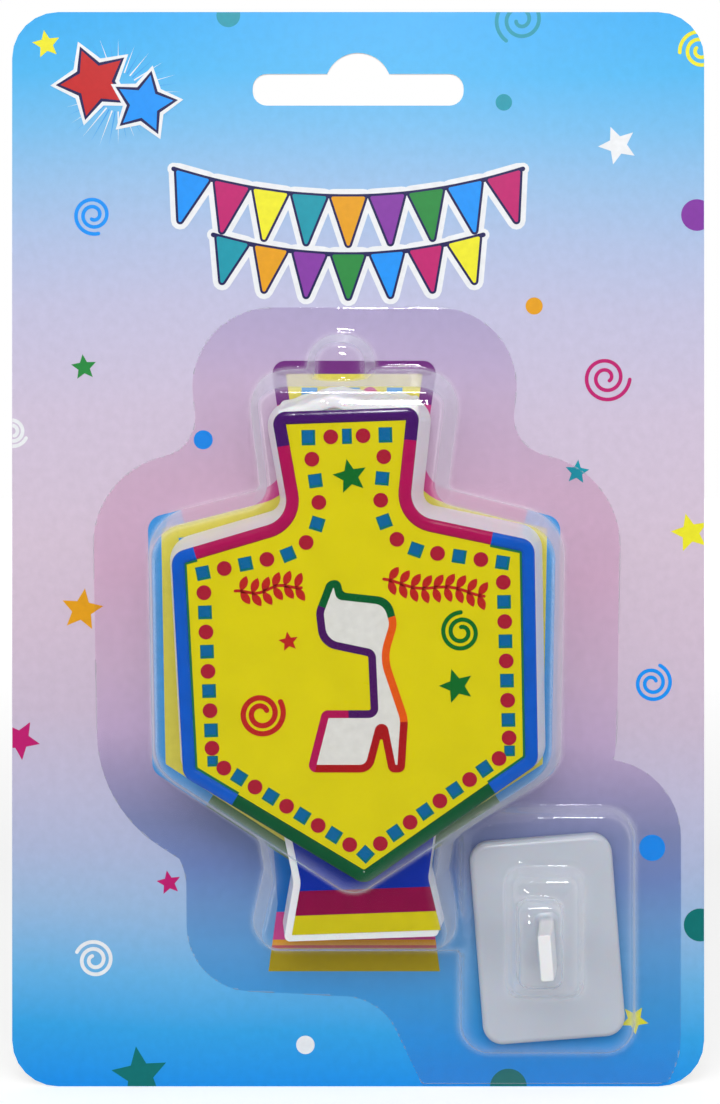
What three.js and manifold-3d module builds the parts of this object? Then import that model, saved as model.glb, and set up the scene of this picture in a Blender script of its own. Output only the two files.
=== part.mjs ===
// A dreidel-shaped candle and its plastic stand, sealed under a clear blister on a hanging card.
// Millimetres. X is to the right, Z is up and the front of the pack faces -Y. The origin is the top
// of the hang slot's arch on the card's front face, where the pack rests on a display hook.
import * as THREE from 'three';
import { mergeVertices } from 'three/addons/utils/BufferGeometryUtils.js';
import Module from 'manifold-3d';

const wasm = await Module();
wasm.setup();

// Backing card
const cardWidth = 105;
const cardHeight = 163;
const cardThickness = 0.6;
const cardCornerRadius = 7;
const cardAboveSlot = 6.2;

// Hang slot
const slotWidth = 32;
const slotHeight = 4.8;
const slotArchWidth = 9.4;
const slotArchRise = 3.2;

// Candle outline, half widths and heights from the candle's centre
const neckHalfWidth = 10.6;
const neckTop = 37.9;
const throatHalfWidth = 8.4;
const throatHeight = 22.4;
const shoulderHalfWidth = 26.2;
const shoulderHeight = 17.9;
const lowerHalfWidth = 25.6;
const lowerHeight = -14.2;
const pointHeight = -30.8;
const neckCornerRadius = 1.6;
const throatRadius = 4;
const bodyCornerRadius = 2;

// Candle foot, moulded a little to one side of the point as on the photographed candle
const footCentreX = -1.2;
const footStart = -20;
const footTopHalfWidth = 10;
const footWaistHalfWidth = 9.5;
const footWaistHeight = -31;
const footHalfWidth = 10.8;
const footBottom = -39.6;
const footCornerRadius = 0.8;
const footWaistRadius = 6;

// Candle depth
const bodyDepth = 11.9;
const footDepth = 9.1;
const wallDraft = 2;
const backEdgeRadius = 0.5;
const candleRestGap = 0.4;

// Candle place and lean inside its bubble
const candleX = 0.3;
const candleZ = -92.5;
const candleLeanDegrees = 2;

// Raised painted rim
const rimWidth = 1.4;
const rimHeight = 0.5;
const rimPurpleDrop = 4.8;
const rimMagentaHalfWidth = 21.7;
const rimGreenHalfWidth = 19.1;
const paintGap = 0.3;

// Print on the face
const filmThickness = 0.12;
const inkThickness = 0.06;
const letterHeight = 27.4;
const letterOutlineWidth = 0.9;
const letterCentreX = 0.2;
const letterCentreZ = -0.8;
const neckStarRadius = 2.6;
const redStarRadius = 1.5;
const greenStarRadius = 2.6;
const starWaistRatio = 0.45;
const redSpiralRadius = 3.35;
const greenSpiralRadius = 2.6;
const spiralLineWidth = 0.55;
const spiralTurns = 2.2;
const neckStarPlace = [0, 28.4];
const redStarPlace = [-9.8, 4.7];
const greenStarPlace = [14.4, -2.6];
const redSpiralPlace = [-13.4, -6];
const greenSpiralPlace = [14.9, 5.4];

// Foot bands, heights from the foot's bottom edge
const bandCentreX = 0.3;
const bandSideInset = 0.4;
const bandBottomInset = 1;
const yellowBandHeight = 2.8;
const magentaBandHeight = 3.6;

// Wick
const wickDiameter = 1.3;
const wickLength = 62;
const wickAboveNeck = 5.8;
const wickGap = 0.3;
const wickDepth = 6.2;

// Stand
const plateWidth = 21.5;
const plateLength = 29;
const plateThickness = 2.2;
const plateCornerRadius = 3;
const plateEdgeRadius = 0.9;
const tongueWidth = 2;
const tongueLength = 7;
const tongueHeight = 10.5;
const tongueTaper = 0.25;
const tongueCornerRadius = 0.6;
const tongueFit = 0.3;
const tongueSlotExtraDepth = 0.8;
const standX = 28.6;
const standZ = -133.8;
const standLeanDegrees = 4.5;
const standRestGap = 0.4;

// Clear blister
const sheetThickness = 0.3;
const bubbleClearance = 3.4;
const bubbleTopRoom = 2.2;
const bubbleFrontGap = 2;
const bubbleDraft = 1.4;
const bubbleEdgeRadius = 1.6;
const bubbleFootTrim = 1.3;
const bubbleCentreX = -0.2;
const flangeWidth = 8.4;
const flangeStandWidth = 6.8;
const flangeExtraRadius = 5;
const flangeInnerRadius = 6;
const flangeEdgeInset = 0.4;
const wickBumpRadius = 5.4;
const wickBumpCentreX = -2.5;
const wickBumpRise = 4.4;
const wickBumpDraft = 1.6;
const wickBumpGap = 2.2;
const standBubbleSideRoom = 2.9;
const standBubbleEndRoom = 4.4;
const standBubbleGap = 1.8;
const standBubbleCornerRadius = 5;
const standBubbleDraft = 0.8;
const standBubbleZ = -132.8;
const outerStepWidth = 12.8;
const outerStepLength = 21.4;
const outerStepRise = 5;
const outerStepRadius = 3;
const innerStepWidth = 7.8;
const innerStepLength = 16.4;
const innerStepRadius = 2.2;
const stepDraft = 0.4;
const stepEdgeRadius = 1;
const stepCentreX = 28;
const stepCentreZ = -132.2;
const tongueTipGap = 1.2;
const pocketSplitX = 15.5;
const pocketSplitRoom = 0.8;
const channelHeight = 6;
const channelDepth = 3.4;
const channelZ = -133;

const arcSteps = 6;

// Shift every edge of a counterclockwise polygon outwards by a distance, keeping its corners.
function shiftEdges(corners, distance) {
  const count = corners.length;
  const normals = corners.map((corner, index) => {
    const next = corners[(index + 1) % count];
    const length = Math.hypot(next.x - corner.x, next.z - corner.z);
    return { x: (next.z - corner.z) / length, z: (corner.x - next.x) / length };
  });
  return corners.map((corner, index) => {
    const before = normals[(index + count - 1) % count];
    const after = normals[index];
    const scale = distance / (1 + before.x * after.x + before.z * after.z);
    const turn = before.x * after.z - before.z * after.x;
    return {
      x: corner.x + (before.x + after.x) * scale,
      z: corner.z + (before.z + after.z) * scale,
      convex: turn > 0,
      radius: corner.radius,
    };
  });
}

// The polygon's outline at an offset, each corner turned into an arc of the same number of points.
function roundedOutline(corners, distance = 0) {
  const moved = shiftEdges(corners, distance);
  const count = moved.length;
  const outline = [];
  moved.forEach((corner, index) => {
    const before = moved[(index + count - 1) % count];
    const after = moved[(index + 1) % count];
    const toBefore = new THREE.Vector2(before.x - corner.x, before.z - corner.z);
    const toAfter = new THREE.Vector2(after.x - corner.x, after.z - corner.z);
    const halfAngle = Math.acos(toBefore.dot(toAfter) / (toBefore.length() * toAfter.length())) / 2;
    const wanted = corner.convex ? corner.radius + distance : corner.radius - distance;
    const room = 0.45 * Math.min(toBefore.length(), toAfter.length()) * Math.tan(halfAngle);
    const radius = Math.min(Math.max(wanted, 0.2), room);
    const reach = radius / Math.tan(halfAngle);
    const start = toBefore.clone().setLength(reach);
    const end = toAfter.clone().setLength(reach);
    const centre = start.clone().add(end).setLength(radius / Math.sin(halfAngle));
    const from = Math.atan2(start.y - centre.y, start.x - centre.x);
    let sweep = Math.atan2(end.y - centre.y, end.x - centre.x) - from;
    if (sweep > Math.PI) sweep -= 2 * Math.PI;
    if (sweep < -Math.PI) sweep += 2 * Math.PI;
    for (let step = 0; step <= arcSteps; step += 1) {
      const angle = from + (sweep * step) / arcSteps;
      outline.push([
        corner.x + centre.x + radius * Math.cos(angle),
        corner.z + centre.y + radius * Math.sin(angle),
      ]);
    }
  });
  return outline;
}

// Join outlines of equal point count, each at its own depth y, into one closed body.
function loft(sections) {
  const count = sections[0].outline.length;
  const positions = [];
  sections.forEach(({ outline, y }) => {
    outline.forEach(([x, z]) => positions.push(x, y, z));
  });
  const faces = [];
  for (let layer = 0; layer + 1 < sections.length; layer += 1) {
    for (let point = 0; point < count; point += 1) {
      const a = layer * count + point;
      const b = layer * count + ((point + 1) % count);
      faces.push([a, b, b + count], [a, b + count, a + count]);
    }
  }
  const addCap = (layer, flip) => {
    const contour = sections[layer].outline.map(([x, z]) => new THREE.Vector2(x, z));
    THREE.ShapeUtils.triangulateShape(contour, []).forEach(([a, b, c]) => {
      const offset = layer * count;
      faces.push(flip ? [a + offset, c + offset, b + offset] : [a + offset, b + offset, c + offset]);
    });
  };
  addCap(0, true);
  addCap(sections.length - 1, false);
  return closedGeometry(positions, faces);
}

// Build a geometry from points and faces, turned so that its faces point outwards.
function closedGeometry(positions, faces) {
  let volume = 0;
  const point = (index) => new THREE.Vector3().fromArray(positions, index * 3);
  faces.forEach(([a, b, c]) => {
    volume += point(a).dot(point(b).cross(point(c)));
  });
  const order = volume < 0 ? faces.map(([a, b, c]) => [a, c, b]) : faces;
  const geometry = new THREE.BufferGeometry();
  geometry.setAttribute('position', new THREE.Float32BufferAttribute(positions, 3));
  geometry.setIndex(order.flat());
  return geometry;
}

function toSolid(geometry) {
  const plain = geometry.clone();
  plain.deleteAttribute('normal');
  plain.deleteAttribute('uv');
  const merged = mergeVertices(plain, 1e-5);
  const solidMesh = new wasm.Mesh({
    numProp: 3,
    vertProperties: new Float32Array(merged.attributes.position.array),
    triVerts: new Uint32Array(merged.index.array),
  });
  return new wasm.Manifold(solidMesh);
}

function toGeometry(solid) {
  const { numProp, vertProperties, triVerts } = solid.getMesh();
  const positions = [];
  for (let index = 0; index < vertProperties.length; index += numProp) {
    positions.push(vertProperties[index], vertProperties[index + 1], vertProperties[index + 2]);
  }
  const geometry = new THREE.BufferGeometry();
  geometry.setAttribute('position', new THREE.Float32BufferAttribute(positions, 3));
  geometry.setIndex(Array.from(triVerts));
  return geometry;
}

function loftSolid(sections) {
  return toSolid(loft(sections));
}

// A plate of one outline between two depths.
function plateSolid(outline, yBack, yFront) {
  return loftSolid([{ outline, y: yBack }, { outline, y: yFront }]);
}

function rectangle(xLow, xHigh, zLow, zHigh, radius) {
  return [
    { x: xLow, z: zLow, radius },
    { x: xHigh, z: zLow, radius },
    { x: xHigh, z: zHigh, radius },
    { x: xLow, z: zHigh, radius },
  ];
}

function centredRectangle(width, height, radius) {
  return rectangle(-width / 2, width / 2, -height / 2, height / 2, radius);
}

function moveCorners(corners, x, z) {
  return corners.map((corner) => ({ ...corner, x: corner.x + x, z: corner.z + z }));
}

function circleOutline(radius, steps) {
  return Array.from({ length: steps }, (_, index) => {
    const angle = (2 * Math.PI * index) / steps;
    return [radius * Math.cos(angle), radius * Math.sin(angle)];
  });
}

// A plain rectangle as an outline, used where a piece is cut off straight.
function straightOutline(xLow, xHigh, zLow, zHigh) {
  return [[xLow, zLow], [xHigh, zLow], [xHigh, zHigh], [xLow, zHigh]];
}

function makeMesh(name, geometry, colour, roughness) {
  const shaded = geometry.index ? geometry.toNonIndexed() : geometry;
  shaded.computeVertexNormals();
  const material = new THREE.MeshStandardMaterial({ color: colour, roughness, metalness: 0 });
  const mesh = new THREE.Mesh(shaded, material);
  mesh.name = name;
  return mesh;
}

// The candle's outline without its foot, counterclockwise. Extra height is added above the neck.
function bodyCorners(extraTop = 0) {
  return [
    { x: 0, z: pointHeight, radius: bodyCornerRadius },
    { x: lowerHalfWidth, z: lowerHeight, radius: bodyCornerRadius },
    { x: shoulderHalfWidth, z: shoulderHeight, radius: bodyCornerRadius },
    { x: throatHalfWidth, z: throatHeight, radius: throatRadius },
    { x: neckHalfWidth, z: neckTop + extraTop, radius: neckCornerRadius },
    { x: -neckHalfWidth, z: neckTop + extraTop, radius: neckCornerRadius },
    { x: -throatHalfWidth, z: throatHeight, radius: throatRadius },
    { x: -shoulderHalfWidth, z: shoulderHeight, radius: bodyCornerRadius },
    { x: -lowerHalfWidth, z: lowerHeight, radius: bodyCornerRadius },
  ];
}

// The foot's outline about a centre line, its bottom raised by a trim.
function footCorners(centreX = footCentreX, trim = 0) {
  const corners = [
    { x: -footHalfWidth, z: footBottom + trim, radius: footCornerRadius },
    { x: footHalfWidth, z: footBottom + trim, radius: footCornerRadius },
    { x: footWaistHalfWidth, z: footWaistHeight, radius: footWaistRadius },
    { x: footTopHalfWidth, z: footStart, radius: footCornerRadius },
    { x: -footTopHalfWidth, z: footStart, radius: footCornerRadius },
    { x: -footWaistHalfWidth, z: footWaistHeight, radius: footWaistRadius },
  ];
  return moveCorners(corners, centreX, 0);
}

const candleBack = -candleRestGap;
const faceY = candleBack - bodyDepth;
const footFaceY = candleBack - footDepth;
const filmY = faceY - filmThickness;
const rimY = faceY - rimHeight;

// A moulded block that narrows towards its face, with a softened back edge.
function draftedBlock(corners, depth) {
  const softened = 0.3 * backEdgeRadius;
  return loftSolid([
    { outline: roundedOutline(corners, wallDraft - backEdgeRadius), y: candleBack },
    { outline: roundedOutline(corners, wallDraft - softened), y: candleBack - softened },
    { outline: roundedOutline(corners, wallDraft), y: candleBack - backEdgeRadius },
    { outline: roundedOutline(corners, 0), y: candleBack - depth },
  ]);
}

const boreDiameter = wickDiameter + 2 * wickGap;
const slotCentreY = candleBack - footDepth / 2;

// An upright round bar from one height to another, centred at x and y.
function uprightBar(diameter, x, y, zLow, zHigh, sides) {
  const bar = new THREE.CylinderGeometry(diameter / 2, diameter / 2, zHigh - zLow, sides);
  bar.rotateX(Math.PI / 2);
  bar.translate(x, y, (zLow + zHigh) / 2);
  return bar;
}

// The stand's tongue as it enters the foot from below: long side along X.
function tongueSlot() {
  const slot = new THREE.BoxGeometry(
    tongueLength + 2 * tongueFit,
    tongueWidth + 2 * tongueFit,
    2 * (tongueHeight + tongueSlotExtraDepth),
  );
  slot.translate(footCentreX, slotCentreY, footBottom - wallDraft);
  return toSolid(slot);
}

function makeWaxBody() {
  const block = draftedBlock(bodyCorners(), bodyDepth).add(draftedBlock(footCorners(), footDepth));
  const wickBottom = neckTop + wickAboveNeck - wickLength;
  const bore = toSolid(uprightBar(boreDiameter, 0, -wickDepth, wickBottom - wickGap, neckTop + 10, 12));
  return makeMesh('wax_body', toGeometry(block.subtract(bore).subtract(tongueSlot())), 0xece8ee, 0.5);
}

function makeWick() {
  const top = neckTop + wickAboveNeck;
  const wick = uprightBar(wickDiameter, 0, -wickDepth, top - wickLength, top, 10);
  return makeMesh('wick', wick, 0xf2efe6, 0.9);
}

function makeFaceFilm() {
  const outline = roundedOutline(bodyCorners(), -(rimWidth + paintGap));
  return makeMesh('face_film', toGeometry(plateSolid(outline, faceY, filmY)), 0xd9cf12, 0.3);
}

// The whole rim bead, rounded at its top edges, before it is cut by colour.
function rimRing() {
  const round = rimHeight * 0.5;
  const outer = loftSolid([
    { outline: roundedOutline(bodyCorners(), 0), y: faceY },
    { outline: roundedOutline(bodyCorners(), 0), y: rimY + round },
    { outline: roundedOutline(bodyCorners(), -0.3 * round), y: rimY + 0.3 * round },
    { outline: roundedOutline(bodyCorners(), -round), y: rimY },
  ]);
  const inner = loftSolid([
    { outline: roundedOutline(bodyCorners(), -rimWidth), y: faceY + 1 },
    { outline: roundedOutline(bodyCorners(), -rimWidth), y: rimY + round },
    { outline: roundedOutline(bodyCorners(), -rimWidth + 0.3 * round), y: rimY + 0.3 * round },
    { outline: roundedOutline(bodyCorners(), -rimWidth + round), y: rimY },
    { outline: roundedOutline(bodyCorners(), -rimWidth + round), y: rimY - 1 },
  ]);
  return outer.subtract(inner);
}

// Cut the rim into its colours. Cuts lie across the bead, with the paint gap between colours.
function makeRimPieces() {
  const ring = rimRing();
  const half = paintGap / 2;
  const purpleZ = neckTop - rimPurpleDrop;
  const middleZ = (throatHeight + lowerHeight) / 2;
  const farX = shoulderHalfWidth + 10;
  const highZ = neckTop + 10;
  const lowZ = pointHeight - 10;
  const zone = (points) => plateSolid(points, faceY + 2, rimY - 2);
  const magenta = straightOutline(0, rimMagentaHalfWidth - half, middleZ, purpleZ - half);
  const blue = [
    [rimGreenHalfWidth + half, lowZ],
    [farX, lowZ],
    [farX, highZ],
    [rimMagentaHalfWidth + half, highZ],
    [rimMagentaHalfWidth + half, middleZ],
    [rimGreenHalfWidth + half, middleZ],
  ];
  const mirrored = (points) => points.map(([x, z]) => [-x, z]).reverse();
  const purple = straightOutline(-farX, farX, purpleZ + half, highZ);
  const edge = rimGreenHalfWidth - half;
  const green = straightOutline(-edge, edge, lowZ, middleZ);
  const pieces = [
    ['rim_top_purple', purple, 0x4a1470],
    ['rim_left_magenta', mirrored(magenta), 0xc0156a],
    ['rim_right_magenta', magenta, 0xc0156a],
    ['rim_left_blue', mirrored(blue), 0x0f50c3],
    ['rim_right_blue', blue, 0x0f50c3],
    ['rim_point_green', green, 0x06602c],
  ];
  return pieces.map(([name, points, colour]) => (
    makeMesh(name, toGeometry(ring.intersect(zone(points))), colour, 0.15)
  ));
}

// A place on the letter, given in hundredths of its height from its middle.
function letterPlace(x, z) {
  const unit = letterHeight / 100;
  return [x * unit + letterCentreX, z * unit + letterCentreZ];
}

// The letter gimel in a plain form, counterclockwise: place and corner radius in hundredths.
function letterCorners() {
  const corners = [
    [-26.6, -49.6, 3.6],
    [9.5, -49.6, 3.6],
    [13.5, -35, 1.8],
    [17.9, -49.6, 2.9],
    [26.3, -49.6, 2.9],
    [27, -23.4, 11],
    [18.2, 8, 18.2],
    [20.4, 38.7, 14.6],
    [-10.9, 40.9, 4.4],
    [-15.3, 50.4, 2.2],
    [-22.6, 30.7, 7.3],
    [-19, 13.1, 9.5],
    [6.6, 9.5, 1.5],
    [8.4, -17.2, 1.5],
    [-16.1, -17.2, 2.9],
  ];
  return corners.map(([atX, atZ, round]) => {
    const [x, z] = letterPlace(atX, atZ);
    return { x, z, radius: (round * letterHeight) / 100 };
  });
}

function makeLetterWhite() {
  const outline = roundedOutline(letterCorners(), -(letterOutlineWidth + paintGap / 2));
  const plate = plateSolid(outline, filmY, filmY - inkThickness);
  return makeMesh('letter_white', toGeometry(plate), 0xe4e2e4, 0.35);
}

// The letter's coloured outline, cut into five colours by zones in front of the face.
function makeLetterOutlines() {
  const yFront = filmY - inkThickness;
  const outer = plateSolid(roundedOutline(letterCorners(), 0), filmY, yFront);
  const inner = plateSolid(roundedOutline(letterCorners(), -letterOutlineWidth), filmY + 1, yFront - 1);
  const ring = outer.subtract(inner);
  const half = paintGap / 2;
  const place = (atX, atZ, moveX = 0, moveZ = 0) => {
    const [x, z] = letterPlace(atX, atZ);
    return [x + moveX, z + moveZ];
  };
  const green = [place(-33, 35, 0, half), place(33, 25.5, 0, half), place(33, 66), place(-33, 66)];
  const orange = [
    place(12.4, -25.5, 0, half),
    place(44, -25.5, 0, half),
    place(44, 22.6, 0, -half),
    place(12.4, 27.7, 0, -half),
  ];
  const red = [
    place(-14.6, -66),
    place(44, -66),
    place(44, -25.5, 0, -half),
    place(-3.6, -25.5, 0, -half),
    place(-14.6, -36.5),
  ];
  const magenta = [
    place(-44, -66),
    place(-14.6, -66, -half),
    place(-14.6, -36.5, -half),
    place(-5.5, -25.5),
    place(-5.5, -7.3),
    place(-44, -7.3),
  ];
  const purple = [
    place(-5.5, -23.4, half),
    place(11.7, -23.4),
    place(11.7, 26.3),
    place(-44, 34.3, 0, -half),
    place(-44, -5.1),
    place(-5.5, -5.1, half),
  ];
  const zones = [
    ['letter_outline_green', green, 0x064a20],
    ['letter_outline_orange', orange, 0xe0560e],
    ['letter_outline_red', red, 0xa01018],
    ['letter_outline_magenta', magenta, 0xb2125e],
    ['letter_outline_purple', purple, 0x3c1264],
  ];
  return zones.map(([name, points, colour]) => {
    const cutter = plateSolid(points, filmY + 2, yFront - 2);
    return makeMesh(name, toGeometry(ring.intersect(cutter)), colour, 0.3);
  });
}

function starOutline(radius, [x, z], points, turn) {
  return Array.from({ length: points * 2 }, (_, index) => {
    const angle = turn + (Math.PI * index) / points;
    const reach = index % 2 === 0 ? radius : radius * starWaistRatio;
    return [x + reach * Math.cos(angle), z + reach * Math.sin(angle)];
  });
}

// A ribbon along a spiral that opens evenly from its middle.
function spiralOutline(radius, [x, z], turn) {
  const steps = 36;
  const innerRadius = spiralLineWidth * 1.2;
  const outer = [];
  const inner = [];
  for (let step = 0; step <= steps; step += 1) {
    const share = step / steps;
    const angle = turn + share * spiralTurns * 2 * Math.PI;
    const middle = innerRadius + (radius - spiralLineWidth / 2 - innerRadius) * share;
    const at = (reach) => [x + reach * Math.cos(angle), z + reach * Math.sin(angle)];
    outer.push(at(middle + spiralLineWidth / 2));
    inner.push(at(middle - spiralLineWidth / 2));
  }
  return outer.concat(inner.reverse());
}

function makeFaceMarks() {
  const yFront = filmY - inkThickness;
  const marks = [
    ['star_neck_green', starOutline(neckStarRadius, neckStarPlace, 5, 1.75), 0x0a7a28],
    ['star_left_red', starOutline(redStarRadius, redStarPlace, 5, 1.7), 0xb01828],
    ['star_right_green', starOutline(greenStarRadius, greenStarPlace, 5, 3.1), 0x0a7a28],
    ['spiral_left_red', spiralOutline(redSpiralRadius, redSpiralPlace, 2.2), 0xc03018],
    ['spiral_right_green', spiralOutline(greenSpiralRadius, greenSpiralPlace, 0.6), 0x0c7a48],
  ];
  return marks.map(([name, outline, colour]) => (
    makeMesh(name, toGeometry(plateSolid(outline, filmY, yFront)), colour, 0.3)
  ));
}

// Paint bands on the foot's face, the top one ending under the body's point.
function makeFootBands() {
  const face = plateSolid(
    roundedOutline(footCorners(bandCentreX), -bandSideInset),
    footFaceY,
    footFaceY - filmThickness,
  );
  const wallHere = (wallDraft * (bodyDepth - footDepth)) / (bodyDepth - backEdgeRadius) + paintGap;
  const bodyRoom = plateSolid(roundedOutline(bodyCorners(), wallHere), footFaceY + 1, footFaceY - 1);
  const bare = face.subtract(bodyRoom);
  const blueBandHeight = footStart - footBottom - yellowBandHeight - magentaBandHeight;
  const bands = [
    ['foot_band_yellow', yellowBandHeight, 0xd8cc10],
    ['foot_band_magenta', magentaBandHeight, 0xa00a5c],
    ['foot_band_blue', blueBandHeight, 0x0836b8],
  ];
  let low = footBottom + bandBottomInset;
  return bands.map(([name, height, colour]) => {
    const outline = straightOutline(-2 * footHalfWidth, 2 * footHalfWidth, low, low + height - paintGap);
    const cutter = plateSolid(outline, footFaceY + 2, footFaceY - 2);
    low += height;
    return makeMesh(name, toGeometry(bare.intersect(cutter)), colour, 0.2);
  });
}

const candle = new THREE.Group();
candle.add(makeWaxBody(), makeWick(), makeFaceFilm(), ...makeRimPieces());
candle.add(makeLetterWhite(), ...makeLetterOutlines(), ...makeFaceMarks(), ...makeFootBands());
candle.position.set(candleX, 0, candleZ);
candle.rotation.y = THREE.MathUtils.degToRad(-candleLeanDegrees);

const plateFrontY = -(standRestGap + plateThickness);
const tongueTipY = plateFrontY - tongueHeight;

function makeStand() {
  const plate = centredRectangle(plateWidth, plateLength, plateCornerRadius);
  const tongue = centredRectangle(tongueWidth, tongueLength, tongueCornerRadius);
  const plateSolidBody = loftSolid([
    { outline: roundedOutline(plate, 0), y: -standRestGap },
    { outline: roundedOutline(plate, 0), y: plateFrontY + plateEdgeRadius },
    { outline: roundedOutline(plate, -0.3 * plateEdgeRadius), y: plateFrontY + 0.3 * plateEdgeRadius },
    { outline: roundedOutline(plate, -plateEdgeRadius), y: plateFrontY },
  ]);
  const tongueSolid = loftSolid([
    { outline: roundedOutline(tongue, 0), y: -standRestGap - plateThickness / 2 },
    { outline: roundedOutline(tongue, 0), y: plateFrontY },
    { outline: roundedOutline(tongue, -tongueTaper), y: tongueTipY },
  ]);
  return makeMesh('stand', toGeometry(plateSolidBody.add(tongueSolid)), 0xc4c9d3, 0.35);
}

const stand = new THREE.Group();
stand.add(makeStand());
stand.position.set(standX, 0, standZ);
stand.rotation.y = THREE.MathUtils.degToRad(-standLeanDegrees);

// One drafted, round-edged pocket of the blister, from the card to its front, at a wall offset.
function pocket(corners, depth, draft, edge, inset, backY) {
  const front = -depth + inset;
  const base = -inset;
  return loftSolid([
    { outline: roundedOutline(corners, base), y: backY },
    { outline: roundedOutline(corners, base), y: 0 },
    { outline: roundedOutline(corners, base - draft), y: front + edge },
    { outline: roundedOutline(corners, base - draft - 0.13 * edge), y: front + 0.5 * edge },
    { outline: roundedOutline(corners, base - draft - 0.5 * edge), y: front + 0.13 * edge },
    { outline: roundedOutline(corners, base - draft - edge), y: front },
  ]);
}

const candleBubbleDepth = -rimY + bubbleFrontGap + sheetThickness;
const footBubbleDepth = -footFaceY + bubbleFrontGap + 2 * sheetThickness;
const standBubbleDepth = -plateFrontY + standBubbleGap + sheetThickness;
const innerStepDepth = -tongueTipY + tongueTipGap + sheetThickness;
const outerStepDepth = standBubbleDepth + outerStepRise;
const wickBumpDepth = wickDepth + wickDiameter / 2 + wickBumpGap + sheetThickness;
const bubbleOffset = wallDraft + bubbleClearance;

// A corner list grown by an offset, so that pockets can be drawn from their outside at the card.
function grown(corners, distance) {
  return shiftEdges(corners, distance).map(({ x, z, convex, radius }) => ({
    x,
    z,
    radius: convex ? radius + distance : Math.max(radius - distance, 1),
  }));
}

function candleBubbleCorners() {
  return moveCorners(grown(bodyCorners(bubbleTopRoom), bubbleOffset), bubbleCentreX, candleZ);
}

function footBubbleCorners() {
  return moveCorners(grown(footCorners(0, bubbleFootTrim), bubbleOffset), bubbleCentreX, candleZ);
}

function standBubbleCorners() {
  const width = plateWidth + 2 * standBubbleSideRoom;
  const length = plateLength + 2 * standBubbleEndRoom;
  return moveCorners(centredRectangle(width, length, standBubbleCornerRadius), standX, standBubbleZ);
}

function stepCorners(width, length, radius) {
  return moveCorners(centredRectangle(width, length, radius), stepCentreX, stepCentreZ);
}

// Everything that is formed, as one solid: outside it at inset 0, inside it at the sheet's thickness.
function formedSolid(inset, backY) {
  const outerStep = stepCorners(outerStepWidth, outerStepLength, outerStepRadius);
  const innerStep = stepCorners(innerStepWidth, innerStepLength, innerStepRadius);
  const bubbleTop = candleZ + neckTop + bubbleTopRoom + bubbleOffset;
  const bump = moveCorners(
    centredRectangle(2 * wickBumpRadius, 2 * wickBumpRadius, wickBumpRadius * 0.9),
    wickBumpCentreX,
    bubbleTop + wickBumpRise - wickBumpRadius,
  );
  const channel = rectangle(
    bubbleCentreX + footHalfWidth,
    standX - plateWidth / 2,
    channelZ - channelHeight / 2,
    channelZ + channelHeight / 2,
    1.5,
  );
  return pocket(candleBubbleCorners(), candleBubbleDepth, bubbleDraft, bubbleEdgeRadius, inset, backY)
    .add(pocket(footBubbleCorners(), footBubbleDepth, bubbleDraft, bubbleEdgeRadius, inset, backY))
    .add(pocket(bump, wickBumpDepth, wickBumpDraft, bubbleEdgeRadius, inset, backY))
    .add(pocket(standBubbleCorners(), standBubbleDepth, standBubbleDraft, bubbleEdgeRadius, inset, backY))
    .add(pocket(outerStep, outerStepDepth, stepDraft, stepEdgeRadius, inset, backY))
    .add(pocket(innerStep, innerStepDepth, stepDraft, stepEdgeRadius, inset, backY))
    .add(pocket(channel, channelDepth, stepDraft, stepEdgeRadius, inset, backY));
}

// The stand pocket's side of the sheet: right of the foot and below the candle bubble's slanting wall.
function standSide() {
  const wall = shiftEdges(bodyCorners(), bubbleOffset + pocketSplitRoom);
  const [point, lower] = moveCorners(wall, bubbleCentreX, candleZ);
  const slope = (lower.z - point.z) / (lower.x - point.x);
  const heightAt = (x) => point.z + slope * (x - point.x);
  const low = -2 * cardHeight;
  return [
    [pocketSplitX, low],
    [cardWidth, low],
    [cardWidth, heightAt(cardWidth)],
    [pocketSplitX, heightAt(pocketSplitX)],
  ];
}

// One formed sheet, held as two nodes that meet face to face, so that collision follows each pocket.
function makeBlister() {
  const cardBottom = cardAboveSlot - cardHeight;
  const flangePlate = (corners, width) => {
    const wide = shiftEdges(corners, 0).map((corner) => ({
      ...corner,
      radius: corner.convex ? corner.radius + flangeExtraRadius : width + flangeInnerRadius,
    }));
    return plateSolid(roundedOutline(wide, width), 0, -sheetThickness);
  };
  const reach = cardWidth / 2 - flangeEdgeInset;
  const cardRoom = straightOutline(-reach, reach, cardBottom + flangeEdgeInset, cardAboveSlot);
  const sheetRoom = plateSolid(cardRoom, 1, -sheetThickness - 1);
  const flange = flangePlate(candleBubbleCorners(), flangeWidth)
    .add(flangePlate(footBubbleCorners(), flangeWidth))
    .add(flangePlate(standBubbleCorners(), flangeStandWidth))
    .intersect(sheetRoom);
  const everywhere = straightOutline(-cardWidth, cardWidth, -2 * cardHeight, cardHeight);
  const frontHalf = plateSolid(everywhere, 0, -3 * candleBubbleDepth);
  const outside = formedSolid(0, 0.5).intersect(frontHalf);
  const sheet = flange.add(outside).subtract(formedSolid(sheetThickness, 2));
  const zone = plateSolid(standSide(), 2, -3 * candleBubbleDepth);
  return [
    makeMesh('blister_candle_pocket', toGeometry(sheet.subtract(zone)), 0xeef2f6, 0.05),
    makeMesh('blister_stand_pocket', toGeometry(sheet.intersect(zone)), 0xeef2f6, 0.05),
  ];
}

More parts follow.
